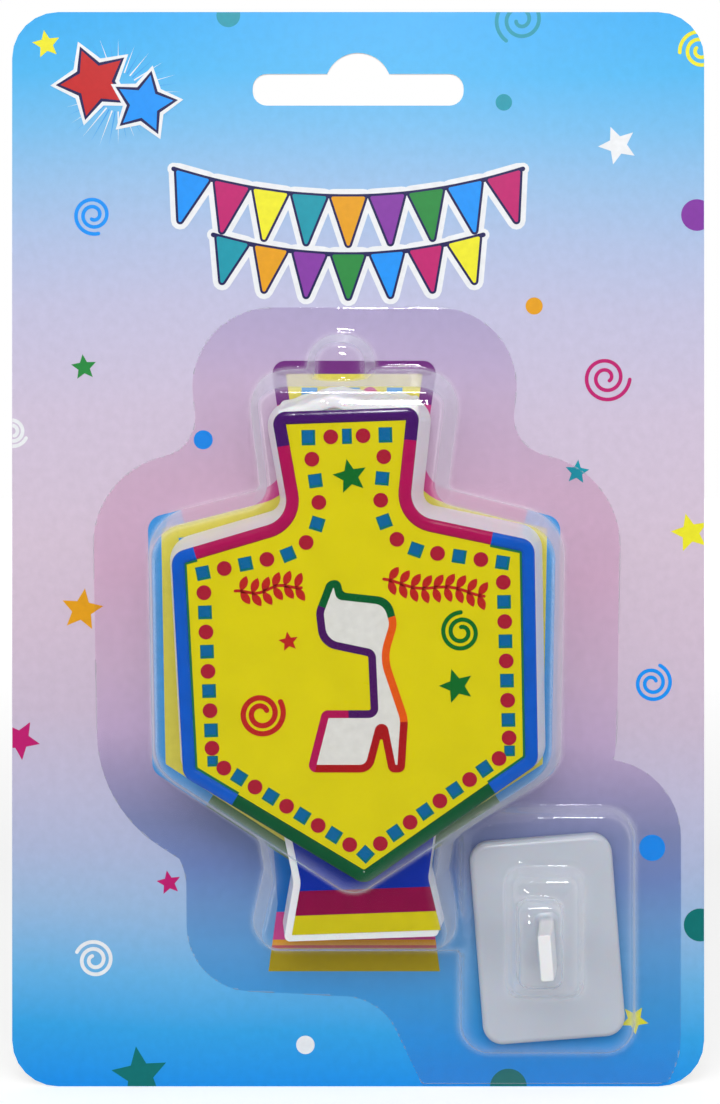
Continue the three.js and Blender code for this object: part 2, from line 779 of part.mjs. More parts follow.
function makeCard() {
  const corners = rectangle(
    -cardWidth / 2,
    cardWidth / 2,
    cardAboveSlot - cardHeight,
    cardAboveSlot,
    cardCornerRadius,
  );
  const board = plateSolid(roundedOutline(corners, 0), cardThickness, 0);
  const barTop = -slotArchRise;
  const bar = rectangle(-slotWidth / 2, slotWidth / 2, barTop - slotHeight, barTop, slotHeight * 0.48);
  const arch = (slotArchWidth ** 2 / 4 + slotArchRise ** 2) / (2 * slotArchRise);
  const cut = (outline) => plateSolid(outline, cardThickness + 1, -1);
  const aboveBar = straightOutline(-arch * 2, arch * 2, barTop - slotHeight / 2, 1);
  const archCut = cut(circleOutline(arch, 48)).translate([0, 0, -arch]).intersect(cut(aboveBar));
  const slot = cut(roundedOutline(bar, 0)).add(archCut);
  return makeMesh('backing_card', toGeometry(board.subtract(slot)), 0x9fb4da, 0.55);
}

const group = new THREE.Group();
group.add(makeCard(), ...makeBlister(), candle, stand);
export default group;
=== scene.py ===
"""Looks of a dreidel candle and its stand, sealed under a clear blister on a hanging card.

Shapes are drawn in millimetres and turned into metres when a piece is made. X is to the right, Z is up
and the front of the pack faces -Y, so a place in front of the card has a negative y.
"""

import logging
import math
from dataclasses import dataclass, field
from enum import Enum
from typing import Callable, Sequence

import bmesh
import bpy
import numpy as np
from mathutils import Matrix, Vector


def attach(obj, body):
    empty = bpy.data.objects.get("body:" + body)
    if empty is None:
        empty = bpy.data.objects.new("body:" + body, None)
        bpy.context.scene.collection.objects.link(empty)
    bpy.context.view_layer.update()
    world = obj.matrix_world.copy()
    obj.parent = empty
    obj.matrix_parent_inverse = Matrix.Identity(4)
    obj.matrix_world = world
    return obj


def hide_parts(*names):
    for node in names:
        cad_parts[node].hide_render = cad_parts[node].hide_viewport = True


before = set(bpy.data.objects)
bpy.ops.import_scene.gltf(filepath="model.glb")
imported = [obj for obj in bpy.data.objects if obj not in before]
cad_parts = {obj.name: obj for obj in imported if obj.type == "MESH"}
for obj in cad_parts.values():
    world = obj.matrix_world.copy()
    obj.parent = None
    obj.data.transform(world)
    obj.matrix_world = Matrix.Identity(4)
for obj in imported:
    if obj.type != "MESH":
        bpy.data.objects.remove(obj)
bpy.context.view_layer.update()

MM = 0.001
UPRIGHT = Matrix.Identity(4)
log = logging.getLogger("pack")

Field = Callable[[np.ndarray, np.ndarray, np.ndarray], np.ndarray]
Colour = tuple[float, float, float, float]
Number = float | bpy.types.NodeSocket
Source = Colour | bpy.types.NodeSocket


class Cut(Enum):
    """How one closed shape is worked into another."""

    JOIN = "UNION"
    REMOVE = "DIFFERENCE"
    KEEP = "INTERSECT"


class Motif(Enum):
    """The kinds of confetti printed on the card."""

    STAR = "star"
    SPIRAL = "spiral"
    DOT = "dot"


# Outlines


@dataclass(frozen=True)
class Corner:
    """A corner of an outline and the radius that rounds it."""

    x: float
    z: float
    radius: float = 0.0


def box_corners(x: float, z: float, width: float, height: float, radius: float) -> list[Corner]:
    """Give the four corners of a rectangle.

    Args:
        x: Its middle across.
        z: Its middle in height.
        width: Its full width.
        height: Its full height.
        radius: The radius of its corners.

    Returns:
        The corners, counterclockwise.
    """
    signs = ((-1, -1), (1, -1), (1, 1), (-1, 1))
    return [Corner(x + i * width / 2, z + j * height / 2, radius) for i, j in signs]


def shifted(corners: Sequence[Corner], distance: float) -> tuple[np.ndarray, np.ndarray]:
    """Move every edge of a counterclockwise outline outwards.

    Args:
        corners: The outline's corners.
        distance: How far the edges move.

    Returns:
        The corners' new places, and for each whether it points outwards.
    """
    places = np.array([(corner.x, corner.z) for corner in corners])
    edges = np.roll(places, -1, axis=0) - places
    normals = np.stack([edges[:, 1], -edges[:, 0]], axis=1) / np.linalg.norm(edges, axis=1)[:, None]
    before = np.roll(normals, 1, axis=0)
    scale = distance / (1 + (before * normals).sum(axis=1))
    turn = before[:, 0] * normals[:, 1] - before[:, 1] * normals[:, 0]
    return places + (before + normals) * scale[:, None], turn > 0


def outline(
    corners: Sequence[Corner],
    distance: float = 0.0,
    arc: int = 10,
    straight: int = 1,
    share: float = 0.45,
) -> np.ndarray:
    """Draw an outline with rounded corners, with the same number of points at any distance.

    Args:
        corners: The outline's corners, counterclockwise.
        distance: How far the outline lies outside its corners' edges.
        arc: Steps round each corner.
        straight: Steps along each straight stretch.
        share: How much of its shorter side a corner may use.

    Returns:
        The points, one row of x and z each.
    """
    places, outward = shifted(corners, distance)
    count = len(corners)
    ends: list[np.ndarray] = []
    for index in range(count):
        here = places[index]
        back = places[index - 1] - here
        ahead = places[(index + 1) % count] - here
        back_length, ahead_length = np.linalg.norm(back), np.linalg.norm(ahead)
        half = math.acos(float(back @ ahead) / (back_length * ahead_length)) / 2
        wanted = corners[index].radius + (distance if outward[index] else -distance)
        room = share * min(back_length, ahead_length) * math.tan(half)
        radius = min(max(wanted, 0.05), room)
        reach = radius / math.tan(half)
        start, end = back / back_length * reach, ahead / ahead_length * reach
        centre = (start + end) / np.linalg.norm(start + end) * radius / math.sin(half)
        first = math.atan2(*(start - centre)[::-1])
        sweep = math.atan2(*(end - centre)[::-1]) - first
        sweep = (sweep + math.pi) % (2 * math.pi) - math.pi
        angles = first + sweep * np.arange(arc + 1) / arc
        ends.append(here + centre + radius * np.stack([np.cos(angles), np.sin(angles)], axis=1))
    points: list[np.ndarray] = []
    for index in range(count):
        points.append(ends[index])
        start, end = ends[index][-1], ends[(index + 1) % count][0]
        between = [start + (end - start) * k / straight for k in range(1, straight)]
        points.append(np.array(between).reshape(-1, 2))
    return np.concatenate(points)


def circle(radius: float, x: float = 0.0, z: float = 0.0, steps: int = 32) -> np.ndarray:
    """Give the points of a circle, counterclockwise."""
    angles = 2 * math.pi * np.arange(steps) / steps
    return np.stack([x + radius * np.cos(angles), z + radius * np.sin(angles)], axis=1)


def star(radius: float, x: float, z: float, turn: float, waist: float = 0.46) -> np.ndarray:
    """Give the points of a five-pointed star.

    Args:
        radius: From its middle to a tip.
        x: Its middle across.
        z: Its middle in height.
        turn: The angle of one tip, in degrees.
        waist: The inner corners' radius as a share of the tips'.

    Returns:
        The points, counterclockwise.
    """
    angles = math.radians(turn) + math.pi * np.arange(10) / 5
    reach = np.where(np.arange(10) % 2 == 0, radius, radius * waist)
    return np.stack([x + reach * np.cos(angles), z + reach * np.sin(angles)], axis=1)


def ribbon(path: np.ndarray, width: float) -> np.ndarray:
    """Give the outline of a line of even width with round ends.

    Args:
        path: The points of the line's middle.
        width: The line's width.

    Returns:
        The outline's points.
    """
    along = np.gradient(path, axis=0)
    along /= np.linalg.norm(along, axis=1)[:, None]
    side = np.stack([-along[:, 1], along[:, 0]], axis=1) * width / 2
    caps = []
    for end, heading in ((-1, along[-1]), (0, -along[0])):
        angles = math.atan2(heading[1], heading[0]) + np.linspace(-math.pi / 2, math.pi / 2, 7)[1:-1]
        caps.append(path[end] + width / 2 * np.stack([np.cos(angles), np.sin(angles)], axis=1))
    return np.concatenate([path - side, caps[0], (path + side)[::-1], caps[1]])


def spiral(radius: float, x: float, z: float, turn: float, width: float, turns: float = 2.2) -> np.ndarray:
    """Give the outline of a spiral line that opens evenly from its middle.

    Args:
        radius: Its outer radius.
        x: Its middle across.
        z: Its middle in height.
        turn: The angle at which it begins, in degrees.
        width: The width of the line.
        turns: How often it goes round.

    Returns:
        The outline's points.
    """
    share = np.linspace(0, 1, 90)
    angles = math.radians(turn) + share * turns * 2 * math.pi
    inner = 1.2 * width
    middle = inner + (radius - width / 2 - inner) * share
    return ribbon(np.stack([x + middle * np.cos(angles), z + middle * np.sin(angles)], axis=1), width)


# Pieces


class Piece:
    """A piece while its points and faces are gathered, in millimetres."""

    def __init__(self, name: str) -> None:
        """Start an empty piece with its name."""
        self.name = name
        self.points: list[tuple[float, float, float]] = []
        self.faces: list[list[int]] = []

    def rings(self, rings: Sequence[Sequence[tuple[float, float, float]]], closed: bool = False) -> "Piece":
        """Join rings of equal point count into one closed body.

        Args:
            rings: The rings, each a list of points.
            closed: Whether the last ring joins the first, as on a loop, instead of both being capped.

        Returns:
            The piece itself.
        """
        start, width = len(self.points), len(rings[0])
        for ring in rings:
            self.points += [tuple(map(float, point)) for point in ring]
        for layer in range(len(rings) if closed else len(rings) - 1):
            low, high = start + layer * width, start + (layer + 1) % len(rings) * width
            for here in range(width):
                after = (here + 1) % width
                self.faces.append([low + here, low + after, high + after, high + here])
        if not closed:
            self.faces.append(list(range(start, start + width))[::-1])
            self.faces.append(list(range(len(self.points) - width, len(self.points))))
        return self

    def loft(self, sections: Sequence[tuple[np.ndarray, float]]) -> "Piece":
        """Join outlines, each at its own y."""
        return self.rings([[(x, y, z) for x, z in shape] for shape, y in sections])

    def pillar(self, sections: Sequence[tuple[np.ndarray, float]]) -> "Piece":
        """Join flat outlines of x and y, each at its own height."""
        return self.rings([[(x, y, z) for x, y in shape] for shape, z in sections])

    def bead(self, profile: Sequence[tuple[np.ndarray, float]], first: int, last: int) -> "Piece":
        """Run a closed cross-section along part of an outline.

        Args:
            profile: The cross-section's points in order, each an outline and its y.
            first: The outline's point where the bead begins.
            last: The point where it ends, counted onwards round the outline.

        Returns:
            The piece itself.
        """
        count = len(profile[0][0])
        steps = (last - first) % count or count
        where = [(first + step) % count for step in range(steps + (steps < count))]
        rings = [[(shape[at][0], y, shape[at][1]) for shape, y in profile] for at in where]
        return self.rings(rings, closed=steps == count)

    def mesh(self) -> bpy.types.Mesh:
        """Make the Blender mesh, in metres, with its faces turned outwards."""
        mesh = bpy.data.meshes.new(self.name)
        mesh.from_pydata([Vector(point) * MM for point in self.points], [], self.faces)
        shape = bmesh.new()
        shape.from_mesh(mesh)
        bmesh.ops.recalc_face_normals(shape, faces=shape.faces)
        shape.to_mesh(mesh)
        shape.free()
        return mesh

    def make(self) -> bpy.types.Object:
        """Put the piece into the scene, not yet dressed."""
        thing = bpy.data.objects.new(self.name, self.mesh())
        bpy.context.scene.collection.objects.link(thing)
        return thing


def work(thing: bpy.types.Object, tool: Piece, how: Cut) -> None:
    """Join a shape to a piece, cut it out, or keep only what both hold.

    Args:
        thing: The piece that is changed.
        tool: The shape that is worked into it.
        how: Which of the three is done.
    """
    other = tool.make()
    modifier = thing.modifiers.new("work", "BOOLEAN")
    modifier.operation, modifier.object, modifier.solver = how.value, other, "EXACT"
    depsgraph = bpy.context.evaluated_depsgraph_get()
    mesh = bpy.data.meshes.new_from_object(thing.evaluated_get(depsgraph))
    thing.modifiers.clear()
    mesh.name, thing.data = thing.name, mesh
    bpy.data.objects.remove(other)


def settle(
    thing: bpy.types.Object,
    material: bpy.types.Material,
    body: str,
    nodes: Sequence[str] = (),
    place: Matrix = UPRIGHT,
    sharp: float = 38.0,
) -> bpy.types.Object:
    """Dress a piece, smooth it and let it ride on its body.

    Args:
        thing: The piece.
        material: Its finish.
        body: The body that carries it.
        nodes: The CAD nodes that it stands for.
        place: Where its own frame lies in the pack.
        sharp: Edges that turn further than this many degrees stay sharp.

    Returns:
        The piece itself.
    """
    thing.data.materials.append(material)
    thing.data.polygons.foreach_set("use_smooth", [True] * len(thing.data.polygons))
    thing.data.set_sharp_from_angle(angle=math.radians(sharp))
    weighted = thing.modifiers.new("even shading", "WEIGHTED_NORMAL")
    weighted.keep_sharp = True
    thing.matrix_world = place
    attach(thing, body)
    if nodes:
        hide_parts(*nodes)
    return thing


def leaning(x: float, z: float, degrees: float) -> Matrix:
    """Give the frame of a piece that leans in its bubble, from its middle and its turn about Y."""
    return Matrix.Translation((x * MM, 0, z * MM)) @ Matrix.Rotation(math.radians(-degrees), 4, "Y")


# Formed sheet, drawn as the zero surface of a field


def outline_distance(shape: np.ndarray, x: np.ndarray, z: np.ndarray) -> np.ndarray:
    """Measure how far points lie outside an outline.

    Args:
        shape: The outline's points.
        x: The points' places across.
        z: The points' places in height.

    Returns:
        The distances, negative inside.
    """
    size = np.broadcast(x, z).shape
    nearest, inside = np.full(size, np.inf), np.zeros(size, bool)
    for (ax, az), (bx, bz) in zip(shape, np.roll(shape, -1, axis=0)):
        ex, ez = bx - ax, bz - az
        px, pz = x - ax, z - az
        share = np.clip((px * ex + pz * ez) / (ex * ex + ez * ez), 0, 1)
        nearest = np.minimum(nearest, (px - share * ex) ** 2 + (pz - share * ez) ** 2)
        if az != bz:
            inside ^= ((az <= z) != (bz <= z)) & (x < ax + pz * ex / ez)
    return np.where(inside, -1, 1) * np.sqrt(nearest)


def round_edge(side: np.ndarray, front: np.ndarray, radius: float) -> np.ndarray:
    """Give the field of what lies within both surfaces, their shared edge rounded."""
    a, b = side + radius, front + radius
    return np.minimum(np.maximum(a, b), 0) + np.hypot(np.maximum(a, 0), np.maximum(b, 0)) - radius


def round_join(one: np.ndarray, other: np.ndarray, radius: float) -> np.ndarray:
    """Give the field of what lies within either shape, with a fillet where they meet."""
    a, b = np.maximum(radius - one, 0), np.maximum(radius - other, 0)
    return np.maximum(np.minimum(one, other), radius) - np.hypot(a, b)


def surface(
    shape: Field, low: Sequence[float], high: Sequence[float], step: float
) -> tuple[np.ndarray, np.ndarray, np.ndarray]:
    """Find the zero surface of a field on a grid and draw its points onto the surface.

    Args:
        shape: The field, negative inside.
        low: The grid's lowest corner.
        high: The grid's highest corner.
        step: The grid's spacing.

    Returns:
        The points, the quads and the points' normals.
    """
    axes = [np.arange(a, b + step, step) for a, b in zip(low, high)]
    values = shape(axes[0][:, None, None], axes[1][None, :, None], axes[2][None, None, :])
    offsets = np.array([(i, j, k) for i in (0, 1) for j in (0, 1) for k in (0, 1)])
    cells = [size - 1 for size in values.shape]
    inside = np.zeros(cells, dtype=np.int8)
    for move in offsets:
        inside += values[tuple(slice(m, m + c) for m, c in zip(move, cells))] < 0
    active = np.argwhere((inside > 0) & (inside < 8))
    number = np.full(cells, -1, dtype=np.int64)
    number[tuple(active.T)] = np.arange(len(active))
    total, hits = np.zeros((len(active), 3)), np.zeros(len(active))
    for axis in range(3):
        for start in offsets[offsets[:, axis] == 0]:
            end = start + np.eye(3, dtype=int)[axis]
            a = values[tuple((active + start).T)]
            b = values[tuple((active + end).T)]
            crossing = (a < 0) != (b < 0)
            share = np.where(crossing, a / np.where(crossing, a - b, 1), 0)
            place = start + share[:, None] * np.eye(3)[axis]
            total += place * crossing[:, None]
            hits += crossing
    points = np.array(low) + (active + total / hits[:, None]) * step
    quads = []
    for axis in range(3):
        u, v = (axis + 1) % 3, (axis + 2) % 3
        trimmed = [slice(1, -1)] * 3
        trimmed[axis] = slice(0, -1)
        moved = list(trimmed)
        moved[axis] = slice(1, None)
        below, above = values[tuple(trimmed)] < 0, values[tuple(moved)] < 0
        for sign in (True, False):
            at = np.argwhere((below != above) & (below == sign))
            at[:, u] += 1
            at[:, v] += 1
            unit = np.eye(3, dtype=int)
            ring = [at - unit[u] - unit[v], at - unit[v], at, at - unit[u]]
            ids = np.stack([number[tuple(item.T)] for item in ring], axis=1)
            quads.append(ids if sign else ids[:, ::-1])
    quads = np.concatenate(quads)
    nudge, flattest, rounds = 0.02, 0.2, 3
    for _ in range(rounds):
        value = shape(*points.T)
        slope = [(shape(*(points + nudge * np.eye(3)[axis]).T) - value) / nudge for axis in range(3)]
        normals = np.stack(slope, axis=1)
        length = np.maximum((normals**2).sum(axis=1), flattest)
        points = points - np.clip(value / length, -0.5 * step, 0.5 * step)[:, None] * normals
    normals /= np.linalg.norm(normals, axis=1)[:, None]
    return points, quads[(quads >= 0).all(axis=1)], normals


# Nodes


def tone(red: float, green: float, blue: float, alpha: float = 1.0) -> Colour:
    """Turn a colour given 0 to 255 a channel into the linear light that shaders take."""
    channels = [value / 255 for value in (red, green, blue)]
    curve = [c / 12.92 if c <= 0.04045 else ((c + 0.055) / 1.055) ** 2.4 for c in channels]
    return (*curve, alpha)


class Graph:
    """Short ways to place and join the nodes of one material or group."""

    def __init__(self, tree: bpy.types.NodeTree) -> None:
        """Start on an emptied node tree."""
        self.tree = tree
        tree.nodes.clear()

    def node(
        self, kind: str, values: dict[str | int, object] | None = None, **settings: object
    ) -> bpy.types.Node:
        """Place a node.

        Args:
            kind: Blender's name for the node.
            values: What goes into its sockets: a value, or another node's output.
            settings: The node's own properties.

        Returns:
            The node.
        """
        made = self.tree.nodes.new(kind)
        for name, value in settings.items():
            setattr(made, name, value)
        for name, value in (values or {}).items():
            socket = made.inputs[name]
            if isinstance(value, bpy.types.NodeSocket):
                self.tree.links.new(value, socket)
            else:
                socket.default_value = value
        return made

    def maths(self, operation: str, *values: Number) -> bpy.types.NodeSocket:
        """Place a Math node and give its output."""
        return self.node("ShaderNodeMath", dict(enumerate(values)), operation=operation).outputs[0]

    def noise(self, place: bpy.types.NodeSocket, scale: Number, detail: float = 3.0) -> bpy.types.NodeSocket:
        """Place a Noise node and give its value."""
        values = {"Vector": place, "Scale": scale, "Detail": detail, "Roughness": 0.55}
        return self.node("ShaderNodeTexNoise", values).outputs["Fac"]

    def fade(
        self,
        value: bpy.types.NodeSocket,
        start: float,
        end: float,
        low: Number = 0.0,
        high: Number = 1.0,
        kind: str = "LINEAR",
    ) -> bpy.types.NodeSocket:
        """Place a Map Range node.

        Args:
            value: What is mapped.
            start: The value that gives low.
            end: The value that gives high.
            low: The result at the start.
            high: The result at the end.
            kind: Blender's name for how it runs between the two.

        Returns:
            The node's output.
        """
        values = {"Value": value, "From Min": start, "From Max": end, "To Min": low, "To Max": high}
        return self.node("ShaderNodeMapRange", values, interpolation_type=kind).outputs["Result"]

    def spread(self, value: bpy.types.NodeSocket, low: Number, high: Number) -> bpy.types.NodeSocket:
        """Stretch a noise value so that it runs from low to high."""
        return self.fade(value, 0.3, 0.7, low, high)

    def blend(self, share: Number, one: Source, other: Source) -> bpy.types.NodeSocket:
        """Place a Mix node between two colours and give its output."""
        return self.node("ShaderNodeMix", {"Factor": share, 6: one, 7: other}, data_type="RGBA").outputs[2]

    def between(self, share: Number, one: Number, other: Number) -> bpy.types.NodeSocket:
        """Place a Mix node between two values and give its output."""
        return self.node("ShaderNodeMix", {"Factor": share, 2: one, 3: other}, data_type="FLOAT").outputs[0]

    def bump(self, height: bpy.types.NodeSocket, strength: float, distance: float) -> bpy.types.NodeSocket:
        """Place a Bump node and give its normal."""
        values = {"Height": height, "Strength": strength, "Distance": distance}
        return self.node("ShaderNodeBump", values).outputs["Normal"]


class SharedEffects:
    """The node groups that several finishes use, each built once."""

    def __init__(self) -> None:
        """Build both groups."""
        self.mottle = self.mottle_group()
        self.relief = self.relief_group()

    def start(
        self, name: str, inputs: dict[str, str], outputs: dict[str, str]
    ) -> tuple[bpy.types.NodeTree, Graph, bpy.types.Node, bpy.types.Node]:
        """Begin a group with its sockets.

        Args:
            name: The group's name.
            inputs: The names and socket types that go in.
            outputs: The names and socket types that come out.

        Returns:
            The group, its graph, its input node and its output node.
        """
        group = bpy.data.node_groups.new(name, "ShaderNodeTree")
        graph = Graph(group)
        for way, sockets in (("INPUT", inputs), ("OUTPUT", outputs)):
            for label, kind in sockets.items():
                group.interface.new_socket(label, in_out=way, socket_type=kind)
        return group, graph, graph.node("NodeGroupInput"), graph.node("NodeGroupOutput")

    def mottle_group(self) -> bpy.types.NodeTree:
        """Build the uneven tone of ink, paint, wax and board, a little lighter and darker in soft spots."""
        sockets = {"Colour": "NodeSocketColor", "Amount": "NodeSocketFloat", "Scale": "NodeSocketFloat"}
        group, graph, into, out = self.start("mottle", sockets, {"Colour": "NodeSocketColor"})
        place = graph.node("ShaderNodeTexCoord").outputs["Object"]
        low = graph.maths("SUBTRACT", 1.0, into.outputs["Amount"])
        high = graph.maths("ADD", 1.0, into.outputs["Amount"])
        level = graph.spread(graph.noise(place, into.outputs["Scale"], 5.0), low, high)
        scaling = {0: into.outputs["Colour"], "Scale": level}
        scaled = graph.node("ShaderNodeVectorMath", scaling, operation="SCALE").outputs["Vector"]
        graph.tree.links.new(scaled, out.inputs["Colour"])
        return group

    def relief_group(self) -> bpy.types.NodeTree:
        """Build the fine relief of a surface: broad waves and fine grain, and a value for uneven gloss."""
        sockets = {"Broad": "NodeSocketFloat", "Fine": "NodeSocketFloat", "Fine Share": "NodeSocketFloat"}
        results = {"Height": "NodeSocketFloat", "Gloss": "NodeSocketFloat"}
        group, graph, into, out = self.start("relief", sockets, results)
        place = graph.node("ShaderNodeTexCoord").outputs["Object"]
        broad = graph.noise(place, into.outputs["Broad"], 2.0)
        fine = graph.noise(place, into.outputs["Fine"], 4.0)
        height = graph.between(into.outputs["Fine Share"], broad, fine)
        graph.tree.links.new(height, out.inputs["Height"])
        graph.tree.links.new(fine, out.inputs["Gloss"])
        return group


effects = SharedEffects()


@dataclass(frozen=True)
class Finish:
    """A coloured surface: its tone, its unevenness, its gloss and its relief.

    Scales are in waves a metre, and relief is in metres.
    """

    name: str
    colour: Colour
    gloss: tuple[float, float] = (0.3, 0.42)
    mottle: float = 0.05
    mottle_scale: float = 260.0
    broad: float = 240.0
    fine: float = 2600.0
    fine_share: float = 0.35
    relief: float = 0.00003
    coat: float = 0.0
    softness: float = 0.0
    softness_reach: float = 0.001
    shine: float = 0.5

    def surface(self, graph: Graph, colour: Source) -> bpy.types.Node:
        """Place the main shader.

        Args:
            graph: The material's nodes.
            colour: The colour, or the output that gives it.

        Returns:
            The Principled node.
        """
        uneven = {"Colour": colour, "Amount": self.mottle, "Scale": self.mottle_scale}
        mottle = graph.node("ShaderNodeGroup", uneven, node_tree=effects.mottle)
        waves = {"Broad": self.broad, "Fine": self.fine, "Fine Share": self.fine_share}
        relief = graph.node("ShaderNodeGroup", waves, node_tree=effects.relief)
        values = {
            "Base Color": mottle.outputs["Colour"],
            "Roughness": graph.spread(relief.outputs["Gloss"], *self.gloss),
            "Normal": graph.bump(relief.outputs["Height"], 0.6, self.relief),
            "Specular IOR Level": self.shine,
            "Coat Weight": self.coat,
            "Coat Roughness": 0.08,
            "Subsurface Weight": self.softness,
            "Subsurface Scale": self.softness_reach,
        }
        return graph.node("ShaderNodeBsdfPrincipled", values)

    def colour_source(self, graph: Graph) -> Source:
        """Give the colour, or the output that paints it."""
        return self.colour

    def material(self) -> bpy.types.Material:
        """Make the material, or give it again if it is there already."""
        found = bpy.data.materials.get(self.name)
        if found:
            return found
        material = bpy.data.materials.new(self.name)
        material.use_nodes = True
        graph = Graph(material.node_tree)
        shader = self.surface(graph, self.colour_source(graph))
        graph.node("ShaderNodeOutputMaterial", {"Surface": shader.outputs["BSDF"]})
        material.diffuse_color = self.colour
        return material


@dataclass(frozen=True)
class BoardFinish(Finish):
    """The printed board: a sky that fades down the front, a plain grey back and raw pale edges."""

    mottle: float = 0.035
    mottle_scale: float = 700.0
    broad: float = 120.0
    fine: float = 3800.0
    shine: float = 0.3
    top: float = 6.2
    height: float = 163.0
    sky: tuple[tuple[float, Colour], ...] = (
        (0.0, tone(50, 167, 232)),
        (0.055, tone(72, 175, 231)),
        (0.11, tone(112, 181, 227)),
        (0.165, tone(147, 185, 223)),
        (0.22, tone(171, 186, 219)),
        (0.28, tone(188, 187, 215)),
        (0.38, tone(201, 188, 210)),
        (0.50, tone(206, 188, 206)),
        (0.58, tone(204, 185, 204)),
        (0.66, tone(197, 181, 202)),
        (0.73, tone(185, 182, 209)),
        (0.79, tone(168, 179, 211)),
        (0.84, tone(148, 180, 216)),
        (0.90, tone(99, 174, 224)),
        (0.95, tone(47, 159, 224)),
        (1.0, tone(17, 142, 228)),
    )
    back: Colour = tone(196, 194, 188)
    edge: Colour = tone(236, 234, 230)

    def colour_source(self, graph: Graph) -> Source:
        """Paint the front by height, and the back and edges by which way they face."""
        place = graph.node("ShaderNodeTexCoord").outputs["Object"]
        sway = graph.spread(graph.noise(place, 14.0, 1.0), -0.012, 0.012)
        height = graph.node("ShaderNodeSeparateXYZ", {"Vector": place}).outputs["Z"]
        down = graph.maths("ADD", graph.fade(height, self.top * MM, (self.top - self.height) * MM), sway)
        ramp = graph.node("ShaderNodeValToRGB", {"Fac": down})
        stops = ramp.color_ramp.elements
        for stop, (position, colour) in zip((stops[0], stops[1]), (self.sky[0], self.sky[-1])):
            stop.position, stop.color = position, colour
        for position, colour in self.sky[1:-1]:
            stops.new(position).color = colour
        facing = graph.node("ShaderNodeNewGeometry").outputs["True Normal"]
        depth = graph.node("ShaderNodeSeparateXYZ", {"Vector": facing}).outputs["Y"]
        front = graph.maths("LESS_THAN", depth, -0.5)
        back = graph.maths("GREATER_THAN", depth, 0.5)
        fibres = graph.noise(place, 900.0, 6.0)
        grey = graph.blend(graph.spread(fibres, 0.0, 0.25), self.back, self.edge)
        return graph.blend(front, graph.blend(back, self.edge, grey), ramp.outputs["Color"])


@dataclass(frozen=True)
class MouldingFinish(Finish):
    """White plastic, painted paler where it stands forward: painted light that lifts the shaded sides of the
    tongue.
    """

    # painted light: the paler tone on the tongue stands in for light falling on its shaded sides
    lit_tongue: Colour = tone(246, 247, 249)
    start: float = -2.9
    end: float = -5.5

    def colour_source(self, graph: Graph) -> Source:
        """Paint the plastic paler by how far it stands forward, as painted light on the tongue."""
        place = graph.node("ShaderNodeTexCoord").outputs["Object"]
        depth = graph.node("ShaderNodeSeparateXYZ", {"Vector": place}).outputs["Y"]
        return graph.blend(graph.fade(depth, self.start * MM, self.end * MM), self.colour, self.lit_tongue)


@dataclass(frozen=True)
class SheetFinish:
    """Clear formed sheet. It lets light through, shines on both sides and looks milky where it is steep."""

    name: str
    gloss: float = 0.025
    index: float = 1.5
    haze: float = 0.003
    steep_haze: float = 0.42
    steepness: float = 1.5
    wave: float = 0.0003
    broad: float = 75.0
    fine: float = 380.0
    fine_share: float = 0.2
    clear: Colour = (0.98, 0.983, 0.987, 1.0)
    shade: Colour = (0.96, 0.96, 0.965, 1.0)
    milk: Colour = tone(236, 240, 247)

    def material(self) -> bpy.types.Material:
        """Make the material."""
        material = bpy.data.materials.new(self.name)
        material.use_nodes = True
        graph = Graph(material.node_tree)
        waves = {"Broad": self.broad, "Fine": self.fine, "Fine Share": self.fine_share}
        relief = graph.node("ShaderNodeGroup", waves, node_tree=effects.relief)
        normal = graph.bump(relief.outputs["Height"], 0.5, self.wave)
        behind = graph.node("ShaderNodeNewGeometry").outputs["Backfacing"]
        bend = graph.fade(behind, 0.0, 1.0, self.index, 1 / self.index)
        shine = graph.node("ShaderNodeFresnel", {"IOR": bend, "Normal": normal}).outputs["Fac"]
        both = graph.maths("DIVIDE", graph.maths("MULTIPLY", 2.0, shine), graph.maths("ADD", 1.0, shine))
        facing = graph.node("ShaderNodeLayerWeight", {"Blend": 0.5, "Normal": normal}).outputs["Facing"]
        steep = graph.maths("POWER", facing, self.steepness)
        steep = graph.maths("MULTIPLY_ADD", steep, self.steep_haze, self.haze)
        clear = graph.node("ShaderNodeBsdfTransparent", {"Color": self.clear})
        glint = graph.node("ShaderNodeBsdfGlossy", {"Roughness": self.gloss, "Normal": normal})
        milk = graph.node("ShaderNodeBsdfDiffuse", {"Color": self.milk, "Normal": normal})
        skin = graph.node("ShaderNodeMixShader", {"Fac": both, 1: clear.outputs[0], 2: glint.outputs[0]})
        body = graph.node("ShaderNodeMixShader", {"Fac": steep, 1: skin.outputs[0], 2: milk.outputs[0]})
        shade = graph.node("ShaderNodeBsdfTransparent", {"Color": self.shade})
        casting = graph.node("ShaderNodeLightPath").outputs["Is Shadow Ray"]
        last = graph.node("ShaderNodeMixShader", {"Fac": casting, 1: body.outputs[0], 2: shade.outputs[0]})
        graph.node("ShaderNodeOutputMaterial", {"Surface": last.outputs[0]})
        return material


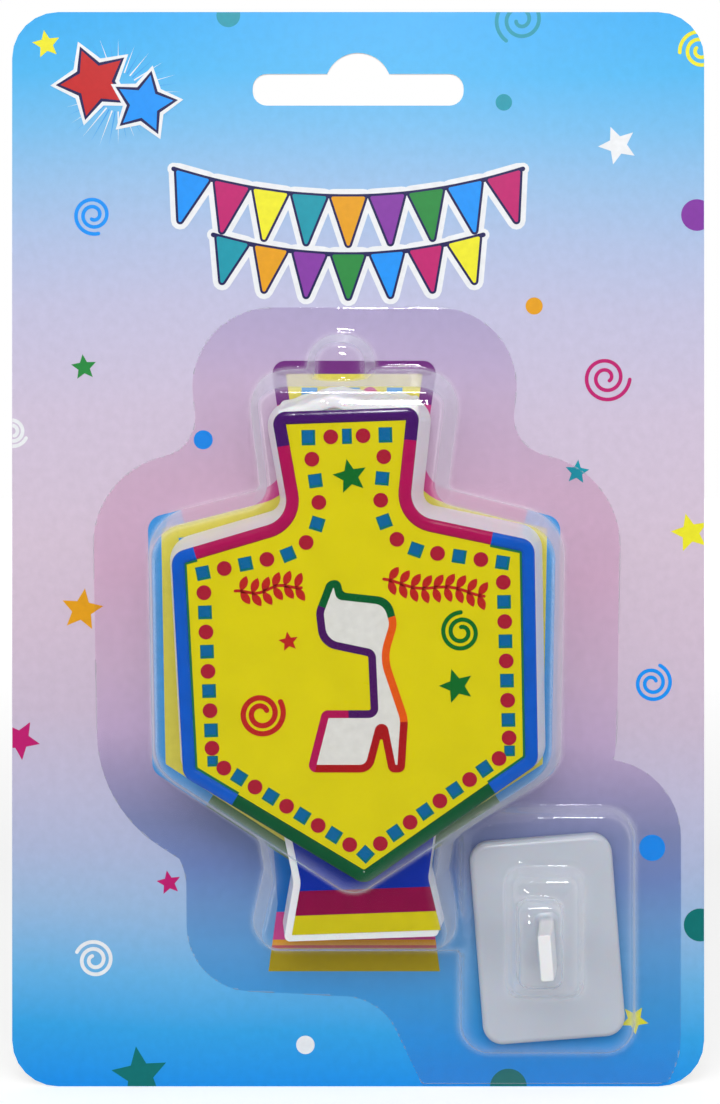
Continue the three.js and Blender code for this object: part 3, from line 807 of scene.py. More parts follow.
class Ink(Enum):
    """The inks of the printed card."""

    YELLOW = (230, 224, 34)
    TEAL = (4, 146, 166)
    GREEN = (34, 134, 60)
    DEEP_TEAL = (0, 112, 110)
    WHITE = (228, 230, 233)
    PURPLE = (128, 50, 158)
    BLUE = (4, 142, 238)
    ORANGE = (222, 154, 8)
    MAGENTA = (186, 18, 106)
    RED = (190, 26, 28)
    NAVY = (26, 24, 84)
    LIGHT_BLUE = (62, 154, 226)
    PICTURE_PURPLE = (116, 38, 128)
    PICTURE_PINK = (206, 66, 142)
    PICTURE_GREEN = (74, 118, 62)
    PICTURE_YELLOW = (228, 216, 84)
    PICTURE_GOLD = (178, 156, 8)
    PICTURE_BLUE = (8, 112, 196)

    def finish(self) -> Finish:
        """Give the finish of this ink on coated board."""
        return Finish(
            f"print_{self.name.lower()}", tone(*self.value), (0.3, 0.44), mottle=0.045, mottle_scale=900.0,
            broad=160.0, fine=3800.0, fine_share=0.5, relief=0.000012, shine=0.3,
        )


# The dreidel's outline, shared by the candle, the picture behind it and the bubble


@dataclass(frozen=True)
class DreidelForm:
    """The sizes of the dreidel's outline, measured from its middle."""

    neck_half_width: float = 10.6
    neck_shift: float = 0.0
    neck_top: float = 37.9
    throat_half_width: float = 8.4
    throat_height: float = 22.4
    shoulder_half_width: float = 26.2
    shoulder_height: float = 17.9
    lower_half_width: float = 25.6
    lower_height: float = -14.2
    point_height: float = -30.8
    neck_radius: float = 1.6
    throat_radius: float = 4.0
    body_radius: float = 2.0
    foot_middle: float = -0.8
    foot_start: float = -20.0
    foot_top_half_width: float = 11.6
    foot_waist_half_width: float = 9.7
    foot_waist_height: float = -31.0
    foot_half_width: float = 11.5
    foot_bottom: float = -39.6
    foot_radius: float = 0.8
    foot_waist_radius: float = 3.5
    square_width: float = 2.0
    dot_radius: float = 1.08
    print_turn: float = 0.55
    border_corners: tuple[tuple[float, float], ...] = (
        (0.0, -26.6), (21.6, -12.3), (21.8, 15.1), (5.6, 34.25),
    )
    border_throat: tuple[float, float, float] = (3.74, 18.3, 7.0)
    border_count: int = 10
    bend_steps: int = 12
    corner_rests: tuple[float, float] = (1.9, 4.5)

    def body(self, extra_top: float = 0.0) -> list[Corner]:
        """Give the outline without the foot.

        Args:
            extra_top: Height added above the neck.

        Returns:
            The corners, counterclockwise.
        """
        right = [
            Corner(self.lower_half_width, self.lower_height, self.body_radius),
            Corner(self.shoulder_half_width, self.shoulder_height, self.body_radius),
            Corner(self.throat_half_width, self.throat_height, self.throat_radius),
            Corner(self.neck_half_width, self.neck_top + extra_top, self.neck_radius),
        ]
        left = [Corner(-corner.x, corner.z, corner.radius) for corner in reversed(right)]
        both = [*right, *left]
        shifts = [self.neck_shift if corner.z > self.shoulder_height else 0.0 for corner in both]
        moved = [Corner(corner.x + shift, corner.z, corner.radius) for corner, shift in zip(both, shifts)]
        return [Corner(0, self.point_height, self.body_radius), *moved]

    def foot(self, middle: float, trim: float = 0.0) -> list[Corner]:
        """Give the foot's outline.

        Args:
            middle: Its middle across.
            trim: How far its bottom is raised.

        Returns:
            The corners, counterclockwise.
        """
        low = self.foot_bottom + trim
        right = [
            Corner(middle + self.foot_half_width, low, self.foot_radius),
            Corner(middle + self.foot_waist_half_width, self.foot_waist_height, self.foot_waist_radius),
            Corner(middle + self.foot_top_half_width, self.foot_start, self.foot_radius),
        ]
        left = [Corner(2 * middle - corner.x, corner.z, corner.radius) for corner in reversed(right)]
        return [*right, *left]

    def border(self) -> list[tuple[float, float, float]]:
        """Give the places of the border's marks and the way each is turned.

        Returns:
            Rows of x, z and angle in radians, a square's and a dot's in turn, from the tip onwards.
        """
        tip, low, high, top = self.border_corners
        turning = [Corner(*high), Corner(*top), Corner(*self.border_throat)]
        bend = outline(turning, 0.0, self.bend_steps)[-self.bend_steps - 1:][::-1]
        marks: list[tuple[float, float, float]] = []
        stretches = (np.array([tip, low]), np.array([low, high]), np.vstack([[high], bend, [top]]))
        for number, stretch in enumerate(stretches):
            lengths = np.linalg.norm(np.diff(stretch, axis=0), axis=1)
            reached = np.concatenate([[0], np.cumsum(lengths)])
            reach = float(reached[-1])
            near, far = self.corner_rests
            steps, rests = (0, self.border_count), (0, reach)
            if number == 0:
                steps, rests = (0, 8, 9), (0, reach - far, reach - near)
            elif number == 1:
                steps, rests = (0, 1, 2, 10), (0, near, far, reach)
            for step in range(self.border_count):
                at = float(np.interp(step, steps, rests))
                x, z = (float(np.interp(at, reached, stretch[:, axis])) for axis in (0, 1))
                segment = stretch[min(int(np.searchsorted(reached, at, "right")), len(stretch) - 1)]
                before = stretch[max(int(np.searchsorted(reached, at, "right")) - 1, 0)]
                marks.append((x, z, math.atan2(segment[1] - before[1], segment[0] - before[0])))
        marks[0] = (0.0, tip[1], math.radians(45))
        top_row = [(x, top[1], 0.0) for x in (top[0], 0.42 * top[0], 0.0)]
        left = [(-x, z, -turn) for x, z, turn in reversed(marks[1:] + top_row[:2])]
        turn = math.radians(self.print_turn)
        return [(x + (4.0 - z) * math.sin(turn), z, angle - turn) for x, z, angle in marks + top_row + left]


def placed(corners: Sequence[Corner], x: float, z: float, scale: float = 1.0) -> list[Corner]:
    """Give corners scaled about their origin and moved."""
    return [Corner(x + c.x * scale, z + c.z * scale, c.radius * scale) for c in corners]


def square(width: float, height: float, x: float, z: float, turn: float) -> np.ndarray:
    """Give the points of a turned rectangle, counterclockwise."""
    corners = np.array([(-width, -height), (width, -height), (width, height), (-width, height)]) / 2
    turned = np.array([[math.cos(turn), math.sin(turn)], [-math.sin(turn), math.cos(turn)]])
    return corners @ turned + (x, z)


def part_of(shape: np.ndarray, places: Sequence[tuple[float, float]]) -> list[int]:
    """Find the outline's point nearest to each place."""
    return [int(np.argmin(np.linalg.norm(shape - place, axis=1))) for place in places]


# The card


@dataclass(frozen=True)
class Confetto:
    """One printed mark of the card's confetti."""

    kind: Motif
    ink: Ink
    x: float
    z: float
    radius: float
    turn: float = 90.0

    def shape(self) -> np.ndarray:
        """Give its outline."""
        if self.kind is Motif.STAR:
            return star(self.radius, self.x, self.z, self.turn)
        if self.kind is Motif.SPIRAL:
            return spiral(self.radius, self.x, self.z, self.turn, 0.56, 2.1)
        return circle(self.radius, self.x, self.z)


@dataclass(frozen=True)
class PennantString:
    """One string of pennants: where it runs, how far it sags, its pennants and its first colour."""

    first: float
    last: float
    top: float
    sag: float
    count: int
    width: float
    height: float
    start: int


@dataclass
class HangCard:
    """The printed card: its board, confetti, garland, burst and the picture behind the candle."""

    width: float = 105.0
    height: float = 163.0
    above_slot: float = 6.2
    corner_radius: float = 7.0
    ink_depth: float = 0.02
    picture_scale: float = 1.195
    picture_x: float = -0.6
    picture_z: float = -92.0
    strip_width: float = 2.0
    burst_x: float = -36.4
    burst_z: float = -5.9
    ray_count: int = 40
    ray_reach: float = 8.6
    ray_swell: float = 0.8
    ray_squash: float = 0.92
    ray_foot: float = 3.0
    ray_half_angle: float = 0.035
    burst_stars: tuple[tuple[Ink, float, float, float, float], ...] = (
        (Ink.RED, -3.6, 1.4, 5.2, 112), (Ink.BLUE, 4.0, -1.8, 4.4, 78),
    )
    pennant_corner: float = 0.25
    border_scale: float = 0.965
    top_row: float = 34.0
    top_row_lift: float = 0.45
    form: DreidelForm = field(default_factory=DreidelForm)
    layers: dict[tuple[str, Ink], Piece] = field(default_factory=dict)
    strings: tuple[PennantString, ...] = (
        PennantString(-28.0, 25.0, -17.6, 4.2, 9, 5.3, 8.0, 0),
        PennantString(-22.0, 19.0, -27.6, 3.0, 7, 5.0, 7.2, 3),
    )
    foot_bands: tuple[tuple[Ink, float, float], ...] = (
        (Ink.PICTURE_GOLD, 0.0, 3.5), (Ink.RED, 3.5, 3.95), (Ink.ORANGE, 3.95, 4.8),
        (Ink.PICTURE_PINK, 4.8, 9.0), (Ink.PICTURE_BLUE, 9.0, 23.5),
    )
    foot_heights: tuple[float, ...] = (0.0, 10.3, 23.6)
    foot_half_widths: tuple[float, ...] = (13.0, 11.6, 12.6)
    strips: tuple[tuple[Ink, float, float], ...] = (
        (Ink.LIGHT_BLUE, 19.1, -18.0), (Ink.PICTURE_PINK, 21.7, 18.6), (Ink.PICTURE_PURPLE, 10.0, 32.2),
        (Ink.PICTURE_PINK, -10.0, 32.2), (Ink.LIGHT_BLUE, -21.7, 18.6), (Ink.PICTURE_GREEN, -19.1, -18.0),
    )
    confetti: tuple[Confetto, ...] = (
        Confetto(Motif.STAR, Ink.YELLOW, -47.3, 1.3, 2.2, 100),
        Confetto(Motif.DOT, Ink.TEAL, -19.7, 5.7, 1.8),
        Confetto(Motif.SPIRAL, Ink.TEAL, 24.6, 5.0, 4.1, 200),
        Confetto(Motif.SPIRAL, Ink.YELLOW, 51.9, 0.4, 3.4, 150),
        Confetto(Motif.DOT, Ink.TEAL, 22.1, -7.5, 1.25),
        Confetto(Motif.STAR, Ink.WHITE, 39.4, -14.0, 3.0, 112),
        Confetto(Motif.DOT, Ink.PURPLE, 51.4, -24.6, 2.4),
        Confetto(Motif.SPIRAL, Ink.BLUE, -40.2, -24.6, 3.2, 250),
        Confetto(Motif.DOT, Ink.ORANGE, 26.7, -38.4, 1.3),
        Confetto(Motif.STAR, Ink.GREEN, -41.6, -47.7, 2.0, 96),
        Confetto(Motif.SPIRAL, Ink.MAGENTA, 37.6, -49.3, 3.9, 320),
        Confetto(Motif.DOT, Ink.BLUE, -23.5, -58.7, 1.45),
        Confetto(Motif.SPIRAL, Ink.WHITE, -52.5, -57.5, 2.6, 300),
        Confetto(Motif.STAR, Ink.TEAL, 33.2, -63.6, 1.9, 84),
        Confetto(Motif.STAR, Ink.YELLOW, 50.4, -72.8, 3.0, 104),
        Confetto(Motif.STAR, Ink.ORANGE, -41.9, -84.5, 3.3, 82),
        Confetto(Motif.SPIRAL, Ink.BLUE, 44.6, -95.6, 3.2, 30),
        Confetto(Motif.STAR, Ink.MAGENTA, -51.3, -104.2, 3.1, 60),
        Confetto(Motif.DOT, Ink.BLUE, 44.6, -120.6, 2.0),
        Confetto(Motif.STAR, Ink.MAGENTA, -28.7, -125.9, 1.9, 100),
        Confetto(Motif.SPIRAL, Ink.WHITE, -40.0, -137.6, 3.2, 120),
        Confetto(Motif.DOT, Ink.WHITE, -8.0, -150.5, 1.4),
        Confetto(Motif.STAR, Ink.DEEP_TEAL, -33.1, -155.1, 4.4, 98),
        Confetto(Motif.STAR, Ink.YELLOW, 41.9, -146.7, 2.2, 130),
        Confetto(Motif.DOT, Ink.DEEP_TEAL, 51.9, -132.3, 2.5),
        Confetto(Motif.DOT, Ink.DEEP_TEAL, 22.8, -156.9, 2.8),
    )

    def lay(self, group: str, ink: Ink, shape: np.ndarray, level: float) -> None:
        """Lay one printed shape on the card.

        Args:
            group: What the shape belongs to.
            ink: Its ink.
            shape: Its outline.
            level: How many layers of ink lie under its front.
        """
        piece = self.layers.setdefault((group, ink), Piece(f"{group}_{ink.name.lower()}"))
        piece.loft([(shape, 0.1), (shape, -self.ink_depth * level)])

    def board(self) -> None:
        """Dress the board itself."""
        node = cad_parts["backing_card"]
        finish = BoardFinish("printed_board_finish", tone(200, 189, 213))
        node.data.materials.clear()
        node.data.materials.append(finish.material())
        log.info("dressed backing_card")

    def print_confetti(self) -> None:
        """Print the stars, spirals and dots."""
        for mark in self.confetti:
            self.lay("confetti", mark.ink, mark.shape(), 1)

    def pennant(
        self, x: float, z: float, width: float, height: float, tilt: float, grow: float
    ) -> np.ndarray:
        """Draw one pennant that hangs from its top edge.

        Args:
            x: Its top edge's middle across.
            z: Its top edge's middle in height.
            width: The width of its top edge.
            height: How far it hangs down.
            tilt: The slope of its top edge, in degrees.
            grow: How far its outline is widened.

        Returns:
            The outline's points.
        """
        turn = math.radians(tilt)
        cos, sin = math.cos(turn), math.sin(turn)
        radius, points = self.pennant_corner, ((0, -height), (width / 2, 0), (-width / 2, 0))
        corners = [Corner(x + a * cos - b * sin, z + a * sin + b * cos, radius) for a, b in points]
        return outline(corners, grow, 5)

    def print_garland(self) -> None:
        """Print two strings of pennants, each pennant on a white and a dark edge."""
        colours = (Ink.BLUE, Ink.MAGENTA, Ink.YELLOW, Ink.TEAL, Ink.ORANGE, Ink.PURPLE, Ink.GREEN)
        for string in self.strings:
            first, span, top, sag = string.first, string.last - string.first, string.top, string.sag
            share = np.linspace(0, 1, 41)
            line = np.stack([first + span * share, top - 4 * sag * share * (1 - share)], axis=1)
            self.lay("garland", Ink.WHITE, ribbon(line, 1.9), 1)
            self.lay("garland", Ink.NAVY, ribbon(line, 0.7), 3)
            for index in range(string.count):
                along = (index + 0.5) / string.count
                x, z = first + span * along, top - 4 * sag * along * (1 - along)
                tilt = math.degrees(math.atan2(-4 * sag * (1 - 2 * along), span))
                ink = colours[(string.start + index) % len(colours)]
                edges = ((Ink.WHITE, 1.15, 1.5 + 0.5 * (index % 2)), (Ink.NAVY, 0.36, 3.5), (ink, 0.0, 4))
                for layer, grow, level in edges:
                    shape = self.pennant(x, z, string.width, string.height, tilt, grow)
                    self.lay("garland", layer, shape, level)

    def print_burst(self) -> None:
        """Print a burst of thin rays with two stars."""
        x, z = self.burst_x, self.burst_z
        for index in range(self.ray_count):
            turn = 2 * math.pi * index / self.ray_count
            reach = self.ray_reach + self.ray_swell * math.cos(3 * turn)
            tip = (x + reach * math.cos(turn), z + self.ray_squash * reach * math.sin(turn))
            near, sides = self.ray_foot, (turn - self.ray_half_angle, turn + self.ray_half_angle)
            foot = [(x + near * math.cos(side), z + near * math.sin(side)) for side in sides]
            ink = Ink.LIGHT_BLUE if index % 2 else Ink.WHITE
            self.lay("burst", ink, np.array([foot[0], tip, foot[1]]), 1)
        for index, (ink, dx, dz, radius, turn) in enumerate(self.burst_stars):
            lift = 2.0 + 1.5 * index
            self.lay("burst", Ink.WHITE, star(radius + 1.5, x + dx, z + dz, turn, 0.56), lift)
            self.lay("burst", Ink.NAVY, star(radius + 0.7, x + dx, z + dz, turn, 0.53), lift + 0.5)
            self.lay("burst", ink, star(radius, x + dx, z + dz, turn, 0.5), lift + 1)

    def on_picture(self, x: float, z: float) -> tuple[float, float]:
        """Give where a place of the dreidel's outline lies on the card's picture."""
        return self.picture_x + x * self.picture_scale, self.picture_z + z * self.picture_scale

    def print_picture(self) -> None:
        """Print the picture of a dreidel that shows round the candle."""
        form, scale = self.form, self.picture_scale
        body = placed(form.body(), self.picture_x, self.picture_z, scale)
        low = self.picture_z + form.foot_bottom * scale
        for ink, start, end in self.foot_bands:
            rows = sorted({start, end, *(h for h in self.foot_heights if start < h < end)})
            halves = [float(np.interp(h, self.foot_heights, self.foot_half_widths)) for h in rows]
            right = [(self.picture_x + half, low + h) for h, half in zip(rows, halves)]
            left = [(2 * self.picture_x - x, z) for x, z in reversed(right)]
            self.lay("picture", ink, np.array(right + left), 2)
        edge = outline(body, 0.0, 8, 24)
        inner = outline(body, -self.strip_width, 8, 24)
        at = part_of(edge, [self.on_picture(x, z) for _, x, z in self.strips])
        front, back = -3 * self.ink_depth, 0.1
        for index, (ink, _, _) in enumerate(self.strips):
            piece = self.layers.setdefault(("picture", ink), Piece(f"picture_{ink.name.lower()}"))
            profile = [(edge, back), (edge, front), (inner, front), (inner, back)]
            piece.bead(profile, at[index], at[(index + 1) % len(at)])
        self.lay("picture", Ink.PICTURE_YELLOW, outline(body, 0.3 - self.strip_width, 8), 2.5)
        width, radius = form.square_width * scale, form.dot_radius * scale
        for index, (x, z, turn) in enumerate(form.border()):
            lift = self.top_row_lift if z > self.top_row else 0.0
            place = self.on_picture(self.border_scale * x, self.border_scale * z + lift)
            if index % 2:
                self.lay("picture", Ink.PICTURE_PINK, circle(radius, *place, 20), 3.5)
            else:
                self.lay("picture", Ink.LIGHT_BLUE, square(width, width, *place, turn), 3.5)

    def finish_layers(self) -> None:
        """Trim the confetti at the card's edge, and dress every printed layer."""
        middle = self.above_slot - self.height / 2
        corners = box_corners(0, middle, self.width, self.height, self.corner_radius)
        for (group, ink), piece in self.layers.items():
            thing = piece.make()
            if group == "confetti":
                room = Piece("room")
                room.loft([(outline(corners, -0.05, 16), 1.0), (outline(corners, -0.05, 16), -1.0)])
                work(thing, room, Cut.KEEP)
            settle(thing, ink.finish().material(), "pack")
            log.info("made %s", thing.name)

    def build(self) -> None:
        """Dress the board and print everything on it."""
        self.board()
        self.print_confetti()
        self.print_garland()
        self.print_burst()
        self.print_picture()
        self.finish_layers()


# The candle


@dataclass
class Candle:
    """The dreidel candle: moulded wax, its raised painted rim, its printed face and its wick."""

    x: float = 0.3
    z: float = -92.5
    lean: float = 2.0
    back: float = -0.4
    depth: float = 11.9
    foot_depth: float = 9.1
    draft: float = 2.0
    foot_draft: float = 0.9
    back_radius: float = 0.5
    rim_width: float = 1.65
    rim_height: float = 0.5
    rim_overhang: float = 0.25
    rim_root: float = 0.25
    rim_fullness: float = 0.75
    rim_steps: int = 12
    overlap: tuple[float, float] = (1.45, 1.95)
    film_inset: float = 1.15
    neck_square_share: float = 0.72
    corner_square_share: float = 0.78
    top_square_share: float = 1.12
    core_inset: tuple[float, float] = (0.5, 0.45)
    core_shift: tuple[float, float] = (-0.08, 0.12)
    leaf_reach: float = 2.35
    leaf_half_width: float = 0.6
    leaf_lean: float = 62.0
    stem_wave: float = 0.35
    stem_width: float = 0.45
    film: float = 0.12
    ink: float = 0.06
    letter_line: float = 1.12
    sunk: float = 0.05
    layer: float = 0.02
    pool_overhang: float = 0.9
    pool_half_depth: float = 5.5
    pool_lift: float = 0.35
    pool_half_height: float = 0.45
    pool_edge: float = 0.5
    mound_tip: float = 0.62
    mound_spread: float = 3.2
    mound_fall: float = 0.75
    mound_lean: float = 0.6
    hill_height: float = 0.9
    hill_x: float = -2.4
    hill_reach: float = 3.4
    band_middle: float = -0.1
    yellow_band: float = 2.8
    magenta_band: float = 3.6
    wick_length: float = 62.0
    wick_above: float = 3.3
    wick_y: float = -6.2
    strand_radius: float = 0.34
    strand_offset: float = 0.31
    strand_lay: float = 4.2
    strand_end: float = 0.55
    strand_steps: int = 180
    tongue_slot: tuple[float, float, float] = (7.6, 2.6, 11.3)
    form: DreidelForm = DreidelForm(neck_shift=-0.35)
    rim_gloss: tuple[float, float] = (0.12, 0.22)

    @property
    def face(self) -> float:
        """Give the wax face's y."""
        return self.back - self.depth

    @property
    def foot_face(self) -> float:
        """Give the foot face's y."""
        return self.back - self.foot_depth

    def place(self) -> Matrix:
        """Give the candle's frame in the pack."""
        return leaning(self.x, self.z, self.lean)

    def put(
        self, thing: bpy.types.Object, finish: Finish, slot: str, *nodes: str, sharp: float = 38.0
    ) -> None:
        """Dress a piece of the candle and let it ride on the candle.

        Args:
            thing: The piece.
            finish: Its finish.
            slot: Not used.
            nodes: The CAD nodes that it stands for.
            sharp: Edges that turn further than this many degrees stay sharp.
        """
        settle(thing, finish.material(), "candle", nodes, self.place(), sharp)
        log.info("made %s", thing.name)

    def block(self, name: str, corners: Sequence[Corner], depth: float, draft: float) -> Piece:
        """Shape a moulded block that narrows towards its face, with a rounded back edge.

        Args:
            name: The piece's name.
            corners: The outline of its face.
            depth: How deep it is.
            draft: How much wider it is at the back.

        Returns:
            The piece.
        """
        sections = []
        for step in range(6):
            angle = math.pi / 2 * step / 5
            inset = self.back_radius * (1 - math.sin(angle))
            y = self.back - self.back_radius * (1 - math.cos(angle))
            sections.append((outline(corners, draft - inset, 14), y))
        for step in range(1, 5):
            share = step / 4
            y = self.back - self.back_radius - (depth - self.back_radius) * share
            sections.append((outline(corners, draft * (1 - share), 14), y))
        return Piece(name).loft(sections)

    def poured_top(self) -> Piece:
        """Shape the lumpy wax poured round the wick, on the neck's slanting top."""
        half, top = self.form.neck_half_width + self.pool_overhang, self.form.neck_top
        slope = self.draft / (self.depth - self.back_radius)

        def value(x: np.ndarray, y: np.ndarray, z: np.ndarray) -> np.ndarray:
            """Give how far points lie outside the poured wax."""
            coarse = 0.22 * np.sin(0.9 * x + 1.3) * np.cos(0.8 * y + 0.4)
            lumps = coarse + 0.1 * np.sin(2.1 * x - 1.7 * y + 0.8)
            hill = self.hill_height * np.exp(-(((x - self.hill_x) / self.hill_reach) ** 2))
            lumps = lumps + hill - 0.009 * x * x
            rise = z - top - slope * (y - self.face) - lumps
            over = (
                np.abs(x) - half + 1.6,
                np.abs(y - self.wick_y) - self.pool_half_depth + 1.2,
                np.abs(rise - self.pool_lift) - self.pool_half_height,
            )
            slab = np.sqrt(sum(np.maximum(one, 0) ** 2 for one in over)) - self.pool_edge
            above = np.maximum(rise, 0.0)
            wide = self.mound_tip + self.mound_spread * np.exp(-above / self.mound_fall)
            round_wick = np.hypot(x + self.mound_lean * np.exp(-above), y - self.wick_y) - wide
            mound = np.maximum(round_wick, np.abs(z - top) - self.mound_spread)
            return round_join(slab, mound * 0.6, 0.6)

        points, quads, _ = surface(value, (-11.5, self.face, top - 4.0), (11.5, self.back, top + 4.4), 0.3)
        piece = Piece("poured_top")
        piece.points, piece.faces = [tuple(point) for point in points.tolist()], quads.tolist()
        return piece

    def make_wax(self) -> None:
        """Build the wax with its foot, the lumpy top at the wick and the stand's slot."""
        form = self.form
        wax = self.block("candle_wax", form.body(), self.depth, self.draft).make()
        foot = form.foot(form.foot_middle)
        work(wax, self.block("foot", foot, self.foot_depth, self.foot_draft), Cut.JOIN)
        work(wax, self.poured_top(), Cut.JOIN)
        wide, deep, tall = self.tongue_slot
        corners = box_corners(form.foot_middle, self.back - self.foot_depth / 2, wide, deep, 0.5)
        low = form.foot_bottom - self.foot_draft
        mouth = Piece("mouth").pillar([
            (outline(corners, 0.4, 5), low - 1.0),
            (outline(corners, 0.4, 5), low),
            (outline(corners, 0.0, 5), low + 0.4),
            (outline(corners, 0.0, 5), low + tall),
        ])
        work(wax, mouth, Cut.REMOVE)
        finish = Finish(
            "white_wax_finish", tone(241, 240, 242), (0.32, 0.5), mottle=0.03, mottle_scale=140.0,
            broad=150.0, fine=1300.0, fine_share=0.3, relief=0.00018, coat=0.15, softness=0.35,
            softness_reach=0.0016,
        )
        self.put(wax, finish, "white_wax", "wax_body")

    def make_wick(self) -> None:
        """Build the wick as three twisted strands."""
        piece = Piece("candle_wick")
        top = self.form.neck_top + self.wick_above
        steps = self.strand_steps
        for strand in range(3):
            rings = []
            for step in range(steps + 1):
                z = top - self.wick_length * (1 - step / steps)
                turn = 2 * math.pi * (strand / 3 + z / self.strand_lay)
                size = self.strand_radius * (self.strand_end if step == steps else 1.0)
                x = self.strand_offset * math.cos(turn)
                y = self.wick_y + self.strand_offset * math.sin(turn)
                rings.append((circle(size, x, y, 12), z))
            piece.pillar(rings)
        finish = Finish(
            "waxed_cotton", tone(240, 236, 224), (0.5, 0.75), mottle=0.08, mottle_scale=900.0, broad=900.0,
            fine=5200.0, fine_share=0.6, relief=0.00006,
        )
        self.put(piece.make(), finish, "wick_cotton", "wick")

    def paint(self, name: str, colour: Colour) -> Finish:
        """Give a glossy hand-laid paint, thick enough to ripple."""
        return Finish(
            name, colour, self.rim_gloss, mottle=0.07, mottle_scale=420.0, broad=420.0, fine=1900.0,
            fine_share=0.25, relief=0.00016, coat=0.12, shine=0.3,
        )

    def make_rim(self) -> None:
        """Build the raised bead round the face in its four colours."""
        body = self.form.body()
        middle = (self.rim_overhang - self.rim_width) / 2
        half = (self.rim_overhang + self.rim_width) / 2
        root = self.face + self.rim_root
        profile = [(outline(body, middle + half, 10, 40), root)]
        for step in range(self.rim_steps + 1):
            angle = math.pi * step / self.rim_steps
            reach, rise = math.cos(angle), math.sin(angle) ** self.rim_fullness
            shape = outline(body, middle + half * reach, 10, 40)
            profile.append((shape, self.face - self.rim_height * rise))
        profile.append((outline(body, middle - half, 10, 40), root))
        runs = (
            ("blue", "right", 19.6, -18.4), ("magenta", "right", 20.4, 19.2), ("purple", "top", 10.2, 33.1),
            ("magenta", "left", -10.2, 33.1), ("blue", "left", -23.3, 19.4), ("green", "point", -18.9, -18.7),
        )
        at = part_of(profile[0][0], [(x, z) for _, _, x, z in runs])
        lines = Piece("face_overlap_line")
        film = self.face - self.film
        outer, inner = (outline(body, -inset, 10, 40) for inset in self.overlap)
        back, front = film + self.sunk, film - 1.5 * self.layer
        layer = [(outer, back), (outer, front), (inner, front), (inner, back)]
        for first, last in ((0, 1), (4, 5)):
            lines.bead(layer, at[first], at[last])
        self.put(lines.make(), self.ink_finish("overlap_ink", tone(30, 116, 70)), "green_ink")
        tones = {
            "blue": tone(8, 90, 200), "magenta": tone(176, 14, 86), "purple": tone(70, 20, 104),
            "green": tone(4, 84, 48),
        }
        for index, (colour, side, _, _) in enumerate(runs):
            piece = Piece(f"rim_{colour}_{side}").bead(profile, at[index], at[(index + 1) % len(at)])
            finish = self.paint(f"rim_{colour}_paint", tones[colour])
            self.put(piece.make(), finish, f"{colour}_paint", f"rim_{side}_{colour}", sharp=60.0)

    def mark(self, name: str, shapes: Sequence[np.ndarray], level: float) -> bpy.types.Object:
        """Lay thin printed shapes on the face.

        Args:
            name: The piece's name.
            shapes: Their outlines.
            level: How many layers of ink lie under their front.

        Returns:
            The piece.
        """
        piece = Piece(name)
        front = self.face - self.film
        for shape in shapes:
            piece.loft([(shape, front + self.sunk), (shape, front - self.layer * level)])
        return piece.make()

    def ink_finish(self, name: str, colour: Colour) -> Finish:
        """Give an ink printed on the face."""
        return Finish(
            name, colour, (0.24, 0.36), mottle=0.06, mottle_scale=800.0, broad=260.0, fine=2800.0,
            fine_share=0.4, relief=0.00003, shine=0.15,
        )

    def make_face(self) -> None:
        """Build the yellow film and its border of squares and dots."""
        body = self.form.body()
        film = Piece("face_yellow_film").loft([
            (outline(body, -self.film_inset, 10), self.face + self.sunk),
            (outline(body, -self.film_inset, 10), self.face - self.film),
        ])
        finish = Finish(
            "yellow_film_finish", tone(220, 207, 0), (0.26, 0.4), mottle=0.035, mottle_scale=180.0,
            broad=130.0, fine=1500.0, fine_share=0.25, relief=0.00012, shine=0.15,
        )
        self.put(film.make(), finish, "yellow_film", "face_film")
        squares, cores, dots = [], [], []
        for index, (x, z, turn) in enumerate(self.form.border()):
            if index % 2:
                dots.append(circle(self.form.dot_radius, x, z, 24))
            else:
                at_corner = abs(x) > 20 and abs(z + 12.3) < 0.8
                size = self.form.square_width * (self.corner_square_share if at_corner else 1.0)
                wide = size * (self.neck_square_share if abs(x) < 1.0 and z > 30 else 1.0)
                tall = size * (1.0 if z < 34 else self.top_square_share)
                squares.append(square(wide, tall, x, z, turn))
                (less_wide, less_tall), (across, up) = self.core_inset, self.core_shift
                cores.append(square(wide - less_wide, tall - less_tall, x + across, z + up, turn))
        marks = (
            ("squares", squares, "teal_mark", tone(0, 112, 112), "green_ink"),
            ("cores", cores, "blue_mark", tone(0, 102, 160), "green_ink"),
            ("dots", dots, "red_mark", tone(170, 24, 50), "red_ink"),
        )
        for level, (name, shapes, ink, colour, slot) in enumerate(marks, 1):
            self.put(self.mark(f"face_border_{name}", shapes, level), self.ink_finish(ink, colour), slot)

    def letter(self) -> list[Corner]:
        """Give the letter's corners."""
        rows = (
            (-7.84, -14.41, 1.1), (1.59, -14.74, 2.2), (3.23, -9.27, 0.2), (4.14, -14.83, 1.0),
            (6.4, -14.91, 1.0), (7.17, -7.07, 5), (4.48, 1.88, 6), (6.13, 6.74, 3.5),
            (5.13, 10.58, 3.8), (-1.67, 11.56, 0.8), (-2.05, 13.42, 0.9), (-3.82, 13.38, 1.3),
            (-5.7, 8.87, 3.0), (-5.28, 3.89, 3.4), (1.69, 2.17, 0.3), (1.78, -5.7, 0.3),
            (-5.22, -5.46, 1.0),
        )
        return [Corner(*row) for row in rows]

